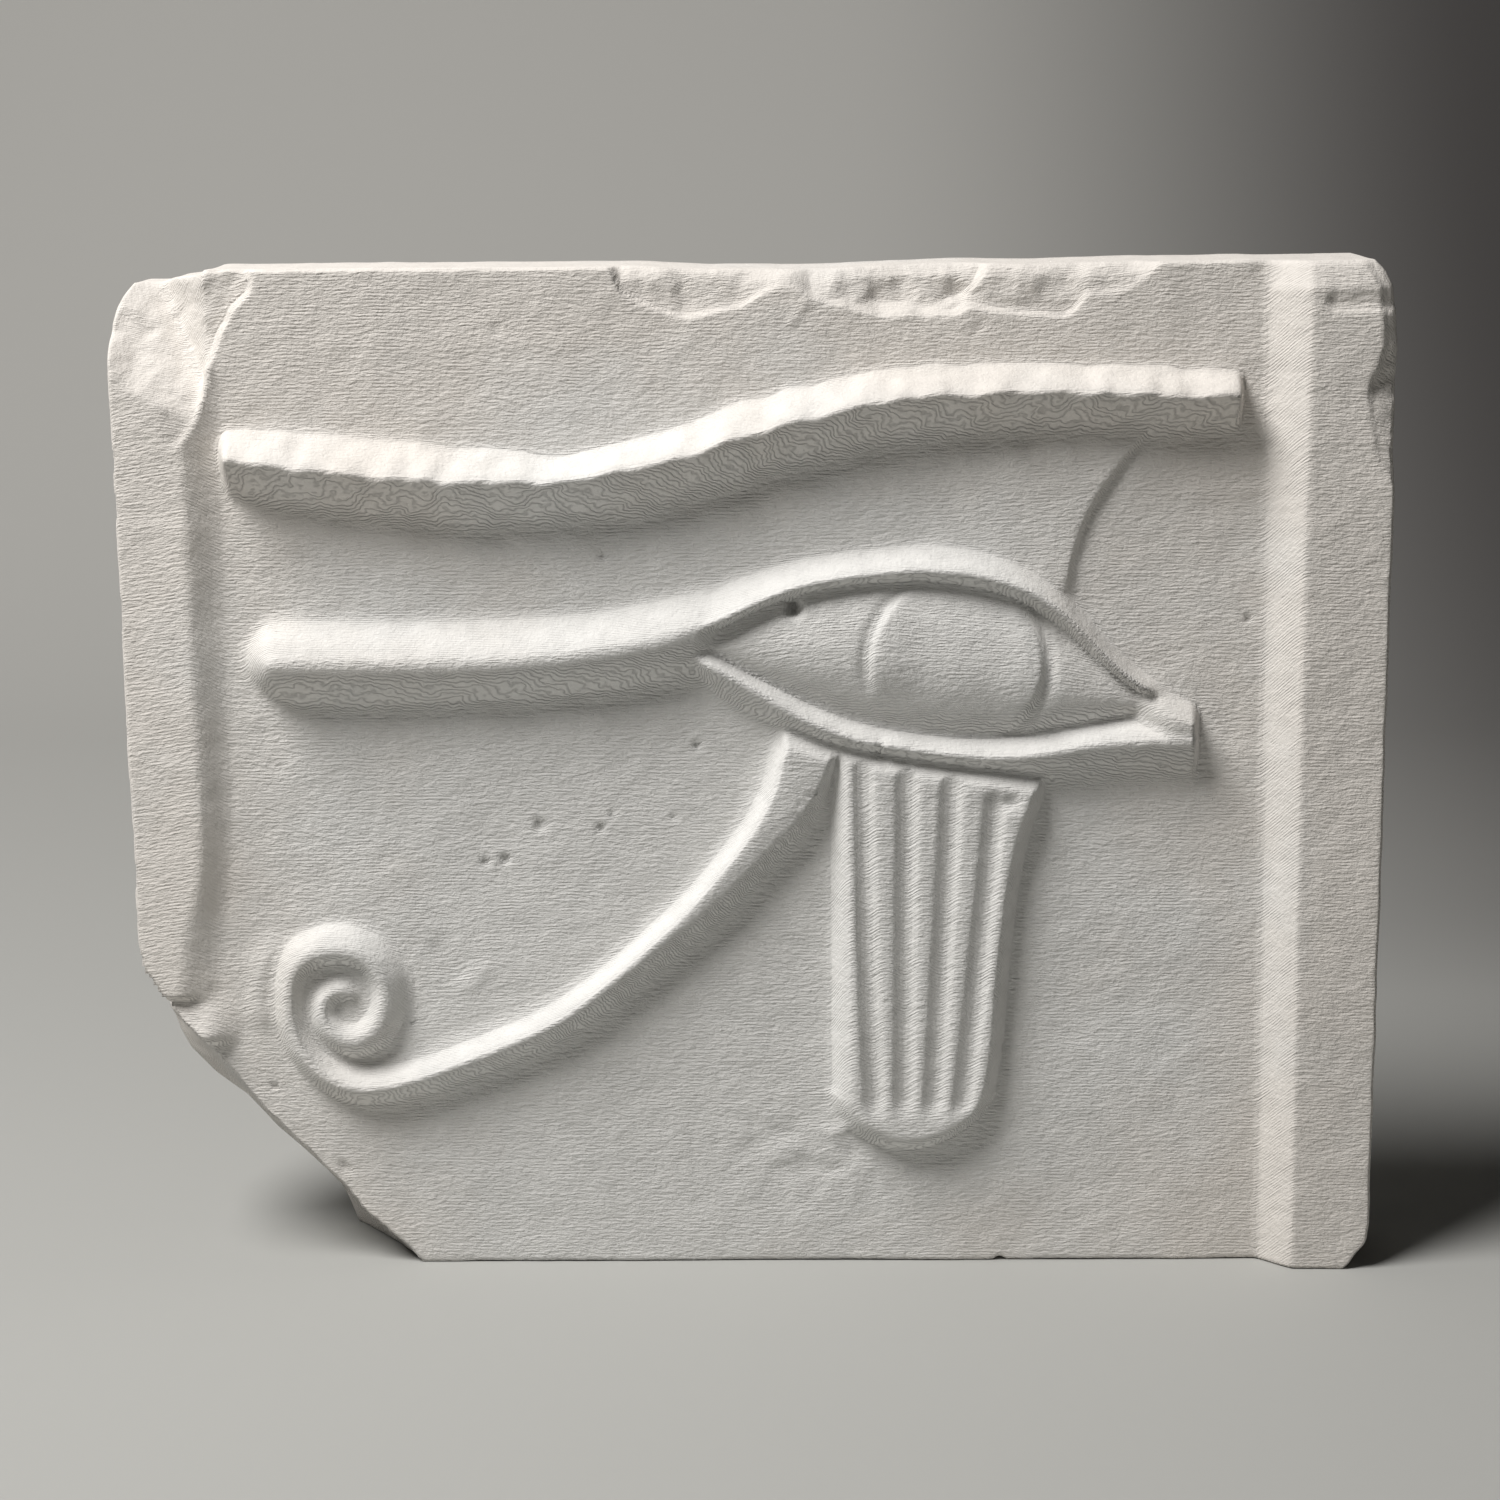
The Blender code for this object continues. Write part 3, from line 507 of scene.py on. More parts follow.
# Spalls along the top edge: a step at the lip, a floor behind it and an edge that rounds off.
# The floor climbs one ledge on its way to the right.
def chipTop(x, z, height):
    shape = topChipShape
    places, lip, step, fall = zip(*shape["lip"])
    ragged = shape["lipRaggedness"] * latticeNoise(x, z * 0.1, 1.3, 41)
    above = z - np.interp(x, places, lip) - ragged
    broken = easeStep(above, 0.3, 1.4)
    depth = np.interp(x, places, step) * easeStep(above, -0.1, shape["stepWidth"])
    depth = depth + np.interp(x, places, fall) * np.clip(above, 0, None)
    depth = depth + shape["roundFall"] * np.clip(z - shape["roundFrom"], 0, None) * broken
    heights, edge = zip(*shape["ledge"])
    beside = np.interp(z, heights, edge) - x + shape["ledgeRaggedness"] * latticeNoise(x, z, 1.1, 43)
    leftFloor = easeStep(beside, -0.1, 0.7) * easeStep(x, *shape["ledgeStarts"])
    depth = depth + shape["ledgeRise"] * leftFloor * broken
    start, end, width, pocketDepth = shape["pocket"]
    depth = depth + pocketDepth * np.exp(-(strokeDistance(x, z, start, end) / width)**2)
    rough = shape["roughness"] * crumble(x, z, 2.1, 3, 42) * (1 + 0.3 * leftFloor) * broken
    return height - depth - rough


upperLeftBreak = {
    # height, X of the lip
    "lip": ((84.8, -56.1), (85.6, -55.4), (86.9, -54.3), (88.0, -53.7), (90.3, -53.2), (92.5, -52.8),
            (94.0, -52.2), (95.8, -51.5), (98.0, -50.2), (99.8, -48.5), (102.4, -48.1)),
    "lipFoot": (84.4, 85.6),  # heights between which the lip fades out
    # X, height of the slope's lower edge on the border
    "lowerEdge": ((-63.0, 91.8), (-60.0, 89.9), (-57.0, 88.0), (-54.5, 87.0), (-48.0, 85.0)),
    "easing": 1.8,            # the slope sets in this far before and after its lower edge
    "borderTop": 1.5,
    "fallUp": 0.68,
    "fallLeft": (-54.0, 0.04),          # X where it sets in, and its fall for each mm
    "floor": -1.3,                      # of the pocket beside the lip
    "floorFall": (-53.0, 1.1, 6),       # X where that floor sets in to fall, its fall and how far
    "lipFloor": (1.1, 86.0, 0.32),      # height of the floor at the lip's foot, and its fall up
    "stepWidth": 0.5,
    "roughness": 0.3,
}


# The broken upper left corner: a rough slope that falls upwards and a little to the left, eased
# in along its lower edge on the border, a shallow pocket beside the lip and a step up at the lip
def breakUpperLeft(x, z, height):
    shape = upperLeftBreak
    places, edge = zip(*shape["lowerEdge"])
    past, ease = z - np.interp(x, places, edge), shape["easing"]
    rising = np.where(past > ease, past, np.clip(past + ease, 0, None)**2 / (4 * ease))
    leanFrom, lean = shape["fallLeft"]
    slope = shape["borderTop"] - shape["fallUp"] * rising
    slope = slope - lean * np.clip(leanFrom - x, 0, None) * easeStep(past, -1, 4)
    floorFrom, floorFall, floorReach = shape["floorFall"]
    slope = softMax(slope, shape["floor"] - floorFall * np.clip(floorFrom - x, 0, floorReach), 0.8)
    lipZ, lipX = zip(*shape["lip"])
    left = np.interp(z, lipZ, lipX) + 0.2 * latticeNoise(x * 0.1, z, 1.2, 52) - x
    start, startZ, fall = shape["lipFloor"]
    beside = np.clip(start - fall * (z - startZ), shape["floor"], None) + 0.3 * np.clip(left, 0, None)
    floor = softMin(slope, beside, 0.6) + shape["roughness"] * crumble(x, z, 2.4, 3, 51)
    inside = easeStep(left, -0.1, shape["stepWidth"]) * easeStep(z, *shape["lipFoot"])
    return height + (softMin(height, floor, 0.3) - height) * inside


rightChips = {
    # height, X of the chipped arris and how far the broken floor falls for each mm past it
    "arris": ((79.5, 63.0, 0), (81.0, 61.9, 0.2), (83.9, 60.2, 0.2), (86.0, 60.0, 0.2),
              (88.7, 59.5, 0.3), (90.6, 59.8, 0.5), (92.8, 61.0, 0.5), (95.4, 60.8, 0.45),
              (99.2, 60.3, 0.35), (102.0, 59.2, 0.35)),
    "step": 0.4,
    "roughness": 0.2,
    "roundFrom": 99.3,
    "roundFall": 0.42,
    "roundStarts": (47.5, 52.5),
    "ledge": (97.2, 0.4),          # height and depth
    "ledgeStarts": (54.8, 56.4),
    "ledgeRoughness": 0.12,
    "wearStarts": (47.0, 50.0),
}


# The chipped right arris, a shallow ledge above it and the worn top of the right border
def chipRight(x, z, height):
    shape = rightChips
    heights, arris, fall = zip(*shape["arris"])
    past = x - np.interp(z, heights, arris) - 0.3 * latticeNoise(x * 0.2, z, 1.6, 61)
    steep = np.interp(z, heights, fall)
    depth = steep * np.clip(past, 0, None) + shape["step"] * np.minimum(steep * 2, 1) * easeStep(past, 0, 0.4)
    rough = shape["roughness"] * crumble(x, z, 1.8, 3, 62) * easeStep(past, 0.2, 1.0)
    ledgeZ, ledgeDepth = shape["ledge"]
    ledge = easeStep(z, ledgeZ - 0.2, ledgeZ + 0.5) * (1 - 0.7 * easeStep(z, ledgeZ + 1, ledgeZ + 2.6))
    rounded = np.clip(z - shape["roundFrom"], 0, None) * easeStep(x, *shape["roundStarts"])
    worn = shape["roundFall"] * rounded + ledgeDepth * ledge * easeStep(x, *shape["ledgeStarts"])
    worn = worn + shape["ledgeRoughness"] * crumble(x, z, 2.6, 2, 63) * ledge
    return height - np.where(steep > 0, depth + rough, 0) - worn * easeStep(x, *shape["wearStarts"])


lowerLeftBreak = {
    # height, X of the fracture's edge on the field, X of its edge on the back
    "rows": ((-0.5, -34.0, -43.0), (0.0, -34.4, -43.1), (1.6, -36.2, -43.7), (2.9, -37.4, -44.2),
             (4.3, -38.8, -44.9), (6.0, -40.9, -46.4), (8.2, -42.4, -48.6), (11.0, -45.0, -51.6),
             (14.5, -48.2, -54.6), (17.0, -50.5, -57.8), (19.8, -52.9, -60.4), (21.9, -54.3, -61.4),
             (24.3, -56.0, -62.1), (26.6, -58.6, -62.4), (28.7, -59.9, -62.5), (31.8, -62.1, -62.5),
             (35.0, -62.5, -62.5), (110.0, -62.5, -62.5)),
    "power": 0.8,
    "edgeLeft": 0.6,                # thickness that the fracture leaves at the outline
    "edgeRaggedness": 0.3,
    "roughness": 0.35,
    "facet": (28.3, 0.2, 0.42),     # its top, its height there and its fall for each mm up
    "facetDrop": 3.2,               # it falls over this height
    "facetFoot": (5.0, 3.6),        # how far below its top it fades out
    "facetEnds": (-56.0, -52.0),
}


# The lost lower left corner: from its edge on the face the fracture falls back to the outline,
# depth = thickness share^power, share being the way from the edge to the outline
def breakLowerLeft(x, z, height):
    shape = lowerLeftBreak
    heights, edge, outline = zip(*shape["rows"])
    edgeX = np.interp(z, heights, edge) + shape["edgeRaggedness"] * latticeNoise(z, z * 0, 1.7, 71)
    outlineX = np.interp(z, heights, outline)
    share = np.clip((edgeX - x) / np.maximum(edgeX - outlineX, 0.25), 0, 1)
    thickness = slabShape["backY"] - slabShape["fieldY"] - shape["edgeLeft"]
    depth = (thickness + np.clip(height, 0, None)) * share**shape["power"]
    rough = shape["roughness"] * crumble(x * 1.3, z, 2.4, 3, 72) * np.minimum(share * 4, 1) * (1 - share)
    # a small facet where the left border ends, which faces up
    top, topHeight, fall = shape["facet"]
    footStart, footEnd = shape["facetFoot"]
    plane = topHeight + fall * np.clip(top - z, 0, shape["facetDrop"]) + 0.1 * crumble(x, z, 2.2, 2, 73)
    within = easeStep(z, top - footStart, top - footEnd) * (1 - easeStep(z, top, top + 0.8))
    within = within * (1 - easeStep(x, *shape["facetEnds"]))
    height = height + (plane - height) * within
    return height - np.where(share > 0, depth + rough, 0)


faceFinish = {
    # fillets where the forms meet each other and the ground
    "linerFillet": 0.6,
    "lidFillet": 0.5,
    "eyeFillet": 0.35,
    "hangingFillet": 0.8,
    "groundFillet": 0.9,
    # heights of the ground's long waves, of its short ones and of the whole face's fine ones
    "longWaves": 0.10,
    "shortWaves": 0.03,
    "fineWaves": 0.025,
    "waveStretch": 0.6,
}


# The height of the carved face above the field: the forms are joined with fillets, then the
# small marks, the spalls and the broken corners are taken off
def faceHeight(x, z):
    words = faceFinish
    across, stretched = x - fieldMiddle, x * words["waveStretch"]
    carving = softMax(browHeight(across, z), ridgeAcross(across, z, linerShape), words["linerFillet"])
    for form in (upperLidShape, lowerLidShape, lidEndShape):
        carving = softMax(carving, ridgeAcross(across, z, form), words["lidFillet"])
    carving = softMax(carving, eyeballHeight(across, z), words["eyeFillet"])
    carving = softMax(carving, hangingHeight(across, z), words["hangingFillet"])
    ground = borderHeight(x, z) + socketStepHeight(across, z)
    ground = ground + words["longWaves"] * crumble(x, z, 9.0, 3, 81)
    ground = ground + words["shortWaves"] * crumble(stretched, z, 1.6, 2, 82)
    height = softMax(ground, carving, words["groundFillet"])
    height = height + words["fineWaves"] * crumble(stretched, z, 1.1, 2, 83)
    height = detailHeight(x, z, height)
    height = chipTop(x, z, height)
    height = breakUpperLeft(x, z, height)
    height = chipRight(x, z, height)
    return breakLowerLeft(x, z, height)


outlineShape = {
    # height, then how far the right side and the left side stand in from the slab's sides
    "right": ((0.0, 2.6), (0.6, 1.9), (1.6, 1.3), (2.8, 0.35), (5.0, 0.0), (80.0, 0.0), (84.0, 0.25),
              (88.0, 0.1), (93.5, 0.0), (97.0, 0.3), (99.6, 0.7), (101.0, 1.4), (102.0, 2.4)),
    "leftTop": ((90.0, 0.0), (96.5, 0.0), (98.5, 0.1), (100.0, 0.4), (101.0, 0.9), (102.0, 1.7)),
    # X, then how far the top edge has dropped there
    "top": ((-62.5, 2.1), (-61.3, 1.6), (-60.3, 1.4), (-58.0, 1.4), (-56.5, 0.9), (-54.0, 0.6), (-53.2, 0.3),
            (-52.8, 0.0), (-10.0, 0.1), (-4.0, 0.45), (8.0, 0.5), (20.0, 0.1), (30.0, 0.2), (38.0, 0.0),
            (62.5, 0.0)),
    "waver": 0.12,
    "topReach": 0.86,            # the share of the height above which the rows bend to the top edge
    "footReach": 0.97,           # the same for the underside, from the top down
    "footFrom": -30.0,           # the underside wavers to the right of this X
    "nick": (25.0, 0.5, 0.35),   # place, half width and height of a nick in its front edge
}


# Rows of z times columns of x: even spacing, with closer lines along the rim
def spacedLines(count, length):
    rim = np.array(slabShape["rimSteps"]) / length
    inner = np.linspace(rim[-1], 1 - rim[-1], count - 2 * (len(rim) - 1))
    return np.concatenate([rim[:-1], inner, 1 - rim[:-1][::-1]])


# How far an outline stands in from its straight line: half of waver (1 + noise), along it
def outlineWaver(along, cell, octaves, seed):
    return outlineShape["waver"] * (1 + crumble(along, along * 0, cell, octaves, seed)) * 0.5


# The face as a grid: across u from the left to the right outline, up v from the underside
def faceGrid():
    shape = slabShape
    u = spacedLines(shape["columns"], shape["rightSide"] - shape["leftSide"])
    v = spacedLines(shape["rows"], shape["height"])
    u, v = np.meshgrid(u, v)
    z = v * shape["height"]
    heights, inward = zip(*outlineShape["right"])
    right = shape["rightSide"] - np.interp(z, heights, inward) - outlineWaver(z, 3.5, 2, 91)
    heights, inward = zip(*outlineShape["leftTop"])
    breakHeights, _, breakOutline = zip(*lowerLeftBreak["rows"])
    broken = np.interp(z, breakHeights, breakOutline)
    left = np.maximum(shape["leftSide"] + np.interp(z, heights, inward), broken)
    left = left + outlineWaver(z, 4.0, 2, 92)
    x = left + u * (right - left)
    places, drop = zip(*outlineShape["top"])
    topDrop = np.interp(x, places, drop) + 0.8 * outlineWaver(x, 4.0, 3, 93)
    z = z - topDrop * easeStep(v, outlineShape["topReach"], 1.0)
    nickX, nickHalf, nickHeight = outlineShape["nick"]
    foot = nickHeight * np.exp(-((x - nickX) / nickHalf)**4) + 0.7 * outlineWaver(x, 4.0, 3, 94)
    z = z + foot * easeStep(1 - v, outlineShape["footReach"], 1.0) * (x > outlineShape["footFrom"])
    x = np.clip(x, shape["leftSide"], shape["rightSide"])
    return u, v, x, np.clip(z, 0, shape["height"])


# The face's points: its height taken forwards from the field, with its outer edge rounded by
# radius - √(radius² - (radius - distance inside)²)
def facePoints():
    shape = slabShape
    u, v, x, z = faceGrid()
    across = (shape["rightSide"] - shape["leftSide"]) * np.minimum(u, 1 - u)
    inside = np.minimum(across, shape["height"] * np.minimum(v, 1 - v))
    radius = shape["edgeRounding"]
    rounding = radius - np.sqrt(np.clip(radius**2 - np.clip(radius - inside, 0, None)**2, 0, None))
    y = shape["fieldY"] - faceHeight(x, z) + 0.8 * rounding
    y = np.clip(y, lowCorner[1] + shape["frontMargin"], shape["backY"] - shape["thinnest"])
    return np.stack([x, y, z], axis=-1)


# Rings from the face's rim back: slightly hollow walls, a quarter circle and the flat back,
# whose rings shrink towards the middle
def rimRings(start, middle):
    shape = slabShape
    outward = start - middle
    outward[:, 1] = 0
    outward /= np.linalg.norm(outward, axis=1)[:, None]
    inset = shape["backRounding"]
    startY = start[:, 1]
    wallEnd = np.maximum(shape["backY"] - inset, startY + shape["frontMargin"])
    rings = []
    for share in np.linspace(0, 1, shape["wallRings"] + 1)[1:]:
        place = start.copy()
        place[:, 1] = startY + (wallEnd - startY) * share
        uneven = 1 + crumble(start[:, 0] + start[:, 2], place[:, 1], shape["wallHollowCell"], 2, 95)
        hollow = shape["wallHollow"] * np.clip(uneven, 0, None) * math.sin(math.pi * share)
        rings.append(place - outward * hollow[:, None])
    for angle in np.linspace(0, math.pi / 2, shape["roundRings"] + 1)[1:]:
        place = start - outward * inset * (1 - math.cos(angle))
        place[:, 1] = wallEnd + (shape["backY"] - wallEnd) * math.sin(angle)
        rings.append(place)
    last = rings[-1]
    for share in np.linspace(0, 1, shape["backRings"] + 2)[1:-1]:
        place = last + (middle - last) * share**0.8
        place[:, 1] = shape["backY"]
        rings.append(place)
    return rings


# The faces of a grid of points, as four numbers each
def gridQuads(index):
    return np.stack([index[:-1, :-1], index[:-1, 1:], index[1:, 1:], index[1:, :-1]], axis=-1).reshape(-1, 4)


# One closed shell: the face grid, rings that run back from its rim and close on one middle point
def slabMesh():
    face = facePoints()
    count = face.shape[0] * face.shape[1]
    index = np.arange(count).reshape(face.shape[:2])
    rim = np.concatenate([index[0, :-1], index[:-1, -1], index[-1, :0:-1], index[:0:-1, 0]])
    points, quads, ring = [face.reshape(-1, 3)], [gridQuads(index)], rim
    middle = np.array([0.0, slabShape["backY"], slabShape["height"] / 2])
    for place in rimRings(points[0][rim], middle):
        following = count + np.arange(len(rim))
        quads.append(np.stack([ring, following, np.roll(following, -1), np.roll(ring, -1)], axis=-1))
        points.append(place)
        ring, count = following, count + len(rim)
    points.append(middle[None])
    fan = np.stack([ring, np.full(len(rim), count), np.roll(ring, -1)], axis=-1)
    return np.concatenate(points), np.concatenate(quads), fan


def makeSlab():
    points, quads, fan = slabMesh()
    print("slab:", len(points), "points,", 2 * len(quads) + len(fan), "triangles")
    mesh = bpy.data.meshes.new("reliefPlaqueCast")
    loops = np.concatenate([quads.ravel(), fan.ravel()])
    starts = np.concatenate([np.arange(len(quads)) * 4, len(quads) * 4 + np.arange(len(fan)) * 3])
    mesh.vertices.add(len(points))
    mesh.loops.add(len(loops))
    mesh.polygons.add(len(starts))
    mesh.vertices.foreach_set("co", (points * mm).ravel())
    mesh.loops.foreach_set("vertex_index", loops.astype(np.int32))
    mesh.polygons.foreach_set("loop_start", starts.astype(np.int32))
    mesh.update(calc_edges=True)
    mesh.validate()
    mesh.shade_smooth()
    piece = bpy.data.objects.new("reliefPlaqueCast", mesh)
    bpy.context.scene.collection.objects.link(piece)
    return piece


# A shader node with its settings and inputs: a socket is linked, anything else is its value
def addNode(tree, kind, inputs, **settings):
    node = tree.nodes.new(kind)
    for name, value in settings.items():
        setattr(node, name, value)
    for key, value in inputs.items():
        if isinstance(value, bpy.types.NodeSocket):
            tree.links.new(value, node.inputs[key])
        else:
            node.inputs[key].default_value = value
    return node


def noise(tree, place, scale, detail, roughness=0.5):
    inputs = {"Vector": place, "Scale": scale, "Detail": detail, "Roughness": roughness}
    return addNode(tree, "ShaderNodeTexNoise", inputs).outputs["Fac"]


def combine(tree, operation, *values):
    return addNode(tree, "ShaderNodeMath", dict(enumerate(values)), operation=operation).outputs[0]


def combineVectors(tree, operation, *values):
    node = addNode(tree, "ShaderNodeVectorMath", dict(enumerate(values)), operation=operation)
    return node.outputs["Value" if operation in ("DOT_PRODUCT", "LENGTH") else "Vector"]


def remap(tree, value, low, high, outLow=0.0, outHigh=1.0, easing="LINEAR"):
    inputs = {"Value": value, "From Min": low, "From Max": high, "To Min": outLow, "To Max": outHigh}
    return addNode(tree, "ShaderNodeMapRange", inputs, interpolation_type=easing).outputs["Result"]


def mixColours(tree, factor, first, second):
    inputs = {"Factor": factor, "A": first, "B": second}
    return addNode(tree, "ShaderNodeMix", inputs, data_type="RGBA").outputs["Result"]


# A material with nodes: its node tree and its shader, matt with the given values
def startMaterial(name, roughness, specular):
    material = bpy.data.materials.new(name)
    material.use_nodes = True
    shader = material.node_tree.nodes["Principled BSDF"]
    shader.inputs["Roughness"].default_value = roughness
    shader.inputs["Specular IOR Level"].default_value = specular
    return material, material.node_tree, shader


plasterFinish = {
    # The warm colour is darker than the cool one: painted shade that darkens the plaster towards its edges and
    # top, on top of its warmer tone there
    "warmColourWithPaintedShade": (0.80, 0.762, 0.716, 1),
    "coolColour": (0.81, 0.803, 0.782, 1),
    "coolMiddle": (-2.0, 0.0, 38.0),   # the plaster is greyer round here and warmer out to the edges
    "coolReach": (61.0, 60.0, 66.0),
    "roughness": 0.9,
    "specular": 0.25,
    "layerHeight": 0.2,          # the printed master's layers, in millimetres
    "layerTilt": 52.0,           # degrees between the layers and the standing slab's underside
    "layerDepth": 0.035,
    # painted shade in the layers' lines: how much the colour darkens in them
    "layerPaintedShade": 0.12,
    "layerWaver": 0.2,
    "contourWaver": 1.6,
    "contourGain": 2.2,
    "contourClimb": (0.05, 0.0, 0.4),    # added to the layers' direction on undersides
    "streakLength": 1.1,
    "streakDepth": 0.26,
    "grainDepth": 0.1,
}


# Bands along a direction, a layer's height apart, that waver
def layerBands(tree, place, direction, wander, waver):
    along = combineVectors(tree, "DOT_PRODUCT", place, direction)
    along = combine(tree, "MULTIPLY_ADD", wander, waver * mm, along)
    return combine(tree, "MULTIPLY", along, 1 / (plasterFinish["layerHeight"] * mm))


# Narrow grooves, one for each band: (0.5 + 0.5 sin)^2.5
def layerGrooves(tree, bands):
    wave = combine(tree, "SINE", combine(tree, "MULTIPLY", bands, 2 * math.pi))
    return combine(tree, "POWER", combine(tree, "MULTIPLY_ADD", wave, 0.5, 0.5), 2.5)


# The layers' lines fade in places. Where the surface faces down, almost along the layers, they turn into
# contour lines, which follow the height more. They shape the bump and darken the colour as painted shade.
def layerLines(tree, place, normal, layers, wander, bands):
    words = plasterFinish
    downward = remap(tree, combineVectors(tree, "DOT_PRODUCT", normal, (0, 0, -1)), 0.15, 0.5)
    patches = remap(tree, noise(tree, place, 420, 2), 0.35, 0.62, 0.0, 0.8)
    level = combine(tree, "MULTIPLY", layerGrooves(tree, bands), patches)
    climbing = layers + Vector(words["contourClimb"])
    contour = layerGrooves(tree, layerBands(tree, place, climbing, wander, words["contourWaver"]))
    elsewhere = combine(tree, "MULTIPLY", level, combine(tree, "SUBTRACT", 1.0, downward))
    below = combine(tree, "MULTIPLY", contour, downward)
    return combine(tree, "MULTIPLY_ADD", below, words["contourGain"], elsewhere)


# Grain, lumps and broken streaks, which are noise drawn out along the layers, less the lines;
# steep sides have few streaks
def plasterBump(tree, place, normal, bands, lines):
    words = plasterFinish
    across = combineVectors(tree, "DOT_PRODUCT", place, (1, 0.6, 0))
    across = combine(tree, "MULTIPLY", across, 1 / (words["streakLength"] * mm))
    drawnOut = addNode(tree, "ShaderNodeCombineXYZ", {"X": across, "Y": bands}).outputs["Vector"]
    streaks = noise(tree, drawnOut, 1.0, 3, 0.6)
    calm = remap(tree, combineVectors(tree, "DOT_PRODUCT", normal, (0, -1, 0)), 0.8, 0.95, 0.25, 1.0)
    grain = noise(tree, place, 2600, 3, 0.65)
    lumps = combine(tree, "MULTIPLY", noise(tree, place, 520, 4, 0.6), 1.6 * words["grainDepth"])
    relief = combine(tree, "MULTIPLY_ADD", grain, words["grainDepth"], lumps)
    relief = combine(tree, "MULTIPLY_ADD", combine(tree, "MULTIPLY", streaks, calm), words["streakDepth"], relief)
    relief = combine(tree, "SUBTRACT", relief, combine(tree, "MULTIPLY", lines, words["layerDepth"]))
    inputs = {"Strength": 1.0, "Distance": mm, "Height": relief}
    return addNode(tree, "ShaderNodeBump", inputs).outputs["Normal"]


# Cool round the middle and warm out to the edges in patches, darkened there and in the lines as painted shade
def plasterColour(tree, place, lines):
    words = plasterFinish
    outward = combineVectors(tree, "SUBTRACT", place, Vector(words["coolMiddle"]) * mm)
    outward = combineVectors(tree, "DIVIDE", outward, Vector(words["coolReach"]) * mm)
    reach = combine(tree, "SUBTRACT", combineVectors(tree, "LENGTH", outward), 0.4)
    patchy = combine(tree, "MULTIPLY_ADD", noise(tree, place, 60, 4), 0.8, reach)
    # painted shade: this mix darkens the plaster towards its edges and top
    tintWithPaintedShade = mixColours(tree, remap(tree, patchy, 0.62, 1.0), words["coolColour"], words["warmColourWithPaintedShade"])
    # painted shade in the lines, strongest where the surface faces down
    shade = combine(tree, "SUBTRACT", 1.0, combine(tree, "MULTIPLY", lines, words["layerPaintedShade"]))
    inputs = {0: tintWithPaintedShade, "Scale": shade}
    return addNode(tree, "ShaderNodeVectorMath", inputs, operation="SCALE").outputs["Vector"]


# The cast plaster. Its fine lines are the layers of the printed master, which lie along
# z cos(tilt) + y sin(tilt).
def plasterMaterial():
    words = plasterFinish
    material, tree, shader = startMaterial("castPlaster", words["roughness"], words["specular"])
    coordinates = tree.nodes.new("ShaderNodeTexCoord")
    place, normal = coordinates.outputs["Object"], coordinates.outputs["Normal"]
    tilt = math.radians(words["layerTilt"])
    layers = Vector((0, math.sin(tilt), math.cos(tilt)))
    wander = noise(tree, place, 230, 3, 0.6)
    bands = layerBands(tree, place, layers, wander, words["layerWaver"])
    lines = layerLines(tree, place, normal, layers, wander, bands)
    tree.links.new(plasterBump(tree, place, normal, bands, lines), shader.inputs["Normal"])
    tree.links.new(plasterColour(tree, place, lines), shader.inputs["Base Color"])
    return material


studioShape = {
    "floorFront": -620.0,
    "bendStart": 260.0,
    "bendRadius": 260.0,
    "wallTop": 900.0,
    "halfWidth": 900.0,
    "floorColour": (0.438, 0.44, 0.423, 1),
    "wallColour": (0.59, 0.585, 0.56, 1),
    # painted shade: the colour the paper darkens to towards the right and the back
    "paintedShadeColour": (0.108, 0.103, 0.101, 1),
    "roughness": 0.8,
    "specular": 0.15,
    # in metres: Y between which the floor's colour turns into the wall's, and X and Y between
    # which painted shade darkens the paper
    "wallFrom": (0.05, 0.48),
    "paintedShadeAcross": (0.01, 0.19),
    "paintedShadeBack": (-0.02, 0.14),
}


# Floor and backdrop in one sheet: flat, then a quarter circle, then upright
def makeBackdrop():
    shape = studioShape
    flat = np.linspace(shape["floorFront"], shape["bendStart"], 12)
    turn = np.linspace(0, math.pi / 2, 24)[1:]
    rise = np.linspace(shape["bendRadius"], shape["wallTop"], 8)[1:]
    bendY = shape["bendStart"] + shape["bendRadius"] * np.sin(turn)
    wallY = np.full(len(rise), shape["bendStart"] + shape["bendRadius"])
    y = np.concatenate([flat, bendY, wallY])
    z = np.concatenate([flat * 0, shape["bendRadius"] * (1 - np.cos(turn)), rise])
    across = np.linspace(-shape["halfWidth"], shape["halfWidth"], 20)
    points = np.stack([np.tile(across, len(y)), np.repeat(y, len(across)), np.repeat(z, len(across))], axis=1)
    quads = gridQuads(np.arange(len(points)).reshape(len(y), len(across)))
    mesh = bpy.data.meshes.new("studioSweep")
    mesh.from_pydata((points * mm).tolist(), [], quads.tolist())
    mesh.shade_smooth()
    sweep = bpy.data.objects.new("studioSweep", mesh)
    bpy.context.scene.collection.objects.link(sweep)
    mesh.materials.append(backdropMaterial())
    return sweep


# The sweep's paper: pale in front, greyer up the wall, with painted shade darkening it towards the right and the
# back
def backdropMaterial():
    shape = studioShape
    material, tree, shader = startMaterial("studioPaper", shape["roughness"], shape["specular"])
    place = tree.nodes.new("ShaderNodeTexCoord").outputs["Object"]
    parts = addNode(tree, "ShaderNodeSeparateXYZ", {0: place}).outputs
    back = remap(tree, parts["Y"], *shape["wallFrom"], easing="SMOOTHSTEP")
    pale = mixColours(tree, back, shape["floorColour"], shape["wallColour"])
    # painted shade, growing to the right and further back
    paintedShadeAcross = remap(tree, parts["X"], *shape["paintedShadeAcross"], easing="SMOOTHSTEP")
    paintedShadeBack = remap(tree, parts["Y"], *shape["paintedShadeBack"], easing="SMOOTHSTEP")
    paintedShade = combine(tree, "MULTIPLY", paintedShadeAcross, paintedShadeBack)
    tree.links.new(mixColours(tree, paintedShade, pale, shape["paintedShadeColour"]), shader.inputs["Base Color"])
    return material


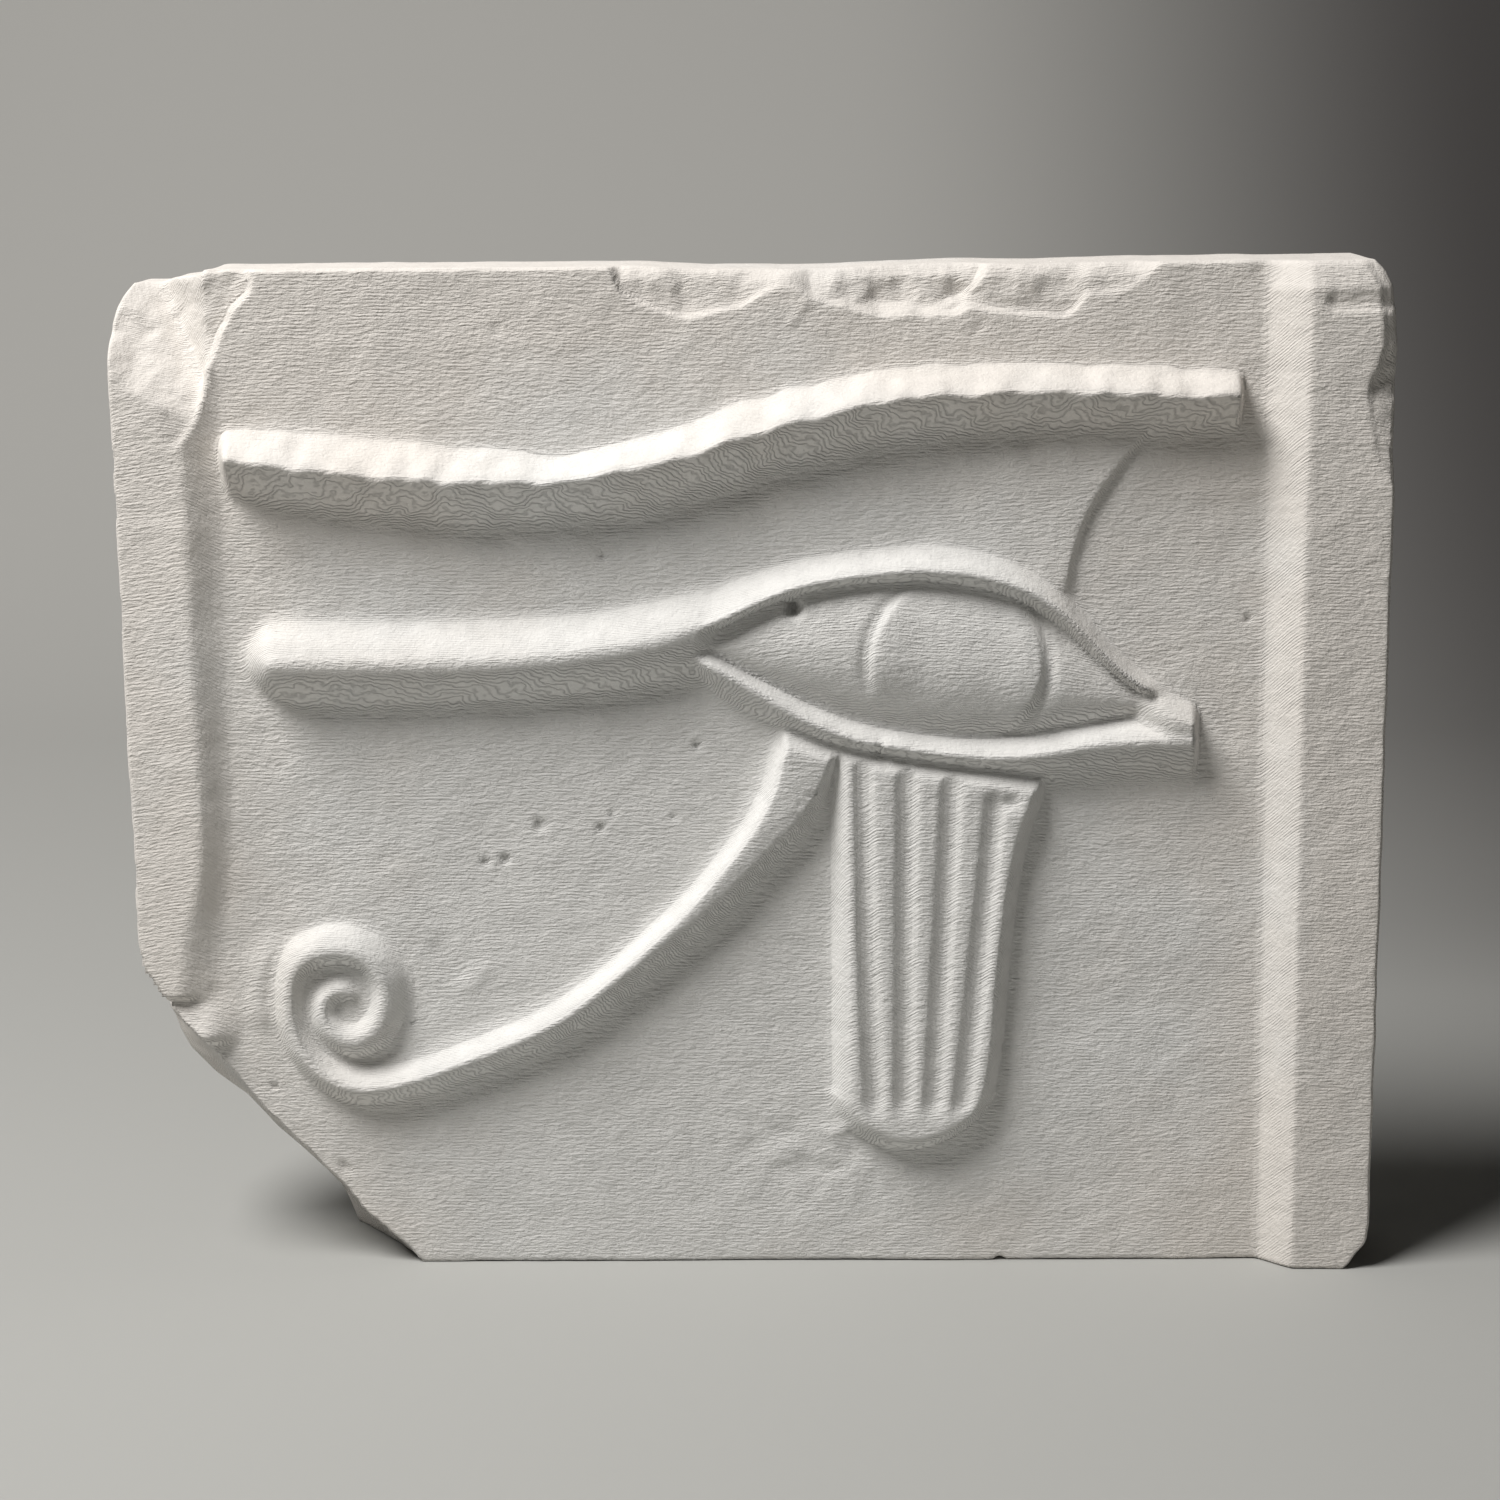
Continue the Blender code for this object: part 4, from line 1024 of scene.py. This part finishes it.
lightWords = {
    "target": (0.0, 0.0, 55.0),
    "key": {"from": (-272.0, -190.0, 550.0), "size": 285.0, "power": 4.62, "colour": (1.0, 0.98, 0.96)},
    "world": (0.20, 0.205, 0.205, 1),
    "worldStrength": 0.03,
}


def addSoftLight(name, words):
    light = bpy.data.lights.new(name, "AREA")
    light.shape = "DISK"
    light.size = words["size"] * mm
    light.energy = words["power"]
    light.color = words["colour"]
    lamp = bpy.data.objects.new(name, light)
    place, target = Vector(words["from"]) * mm, Vector(lightWords["target"]) * mm
    turn = (target - place).to_track_quat("-Z", "Y").to_matrix().to_4x4()
    lamp.matrix_world = Matrix.Translation(place) @ turn
    bpy.context.scene.collection.objects.link(lamp)


def lightStudio():
    addSoftLight("keyLight", lightWords["key"])
    world = bpy.data.worlds.new("studioAir")
    world.use_nodes = True
    world.node_tree.nodes["Background"].inputs["Color"].default_value = lightWords["world"]
    world.node_tree.nodes["Background"].inputs["Strength"].default_value = lightWords["worldStrength"]
    bpy.context.scene.world = world
    bpy.context.scene.view_settings.view_transform = "Standard"


cameraWords = {
    "place": (4.55, -298.94, 116.7),
    "turn": 0.94,
    "down": 12.07,
    "roll": -0.58,
    "lens": 72.0,
}


def placeCamera():
    words = cameraWords
    camera = bpy.data.cameras.new("photoCamera")
    camera.lens = words["lens"]
    camera.sensor_width = 36.0
    camera.clip_start = 0.01
    viewer = bpy.data.objects.new("photoCamera", camera)
    viewer.matrix_world = (Matrix.Translation(Vector(words["place"]) * mm)
                           @ Matrix.Rotation(math.radians(words["turn"]), 4, "Z")
                           @ Matrix.Rotation(math.radians(90 - words["down"]), 4, "X")
                           @ Matrix.Rotation(math.radians(words["roll"]), 4, "Z"))
    bpy.context.scene.collection.objects.link(viewer)
    bpy.context.scene.camera = viewer


print("camera")
placeCamera()
print("slab")
plaque = makeSlab()
plaque.data.materials.append(plasterMaterial())
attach(plaque, "root")
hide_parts("relief_plaque")
print("studio")
makeBackdrop()
lightStudio()
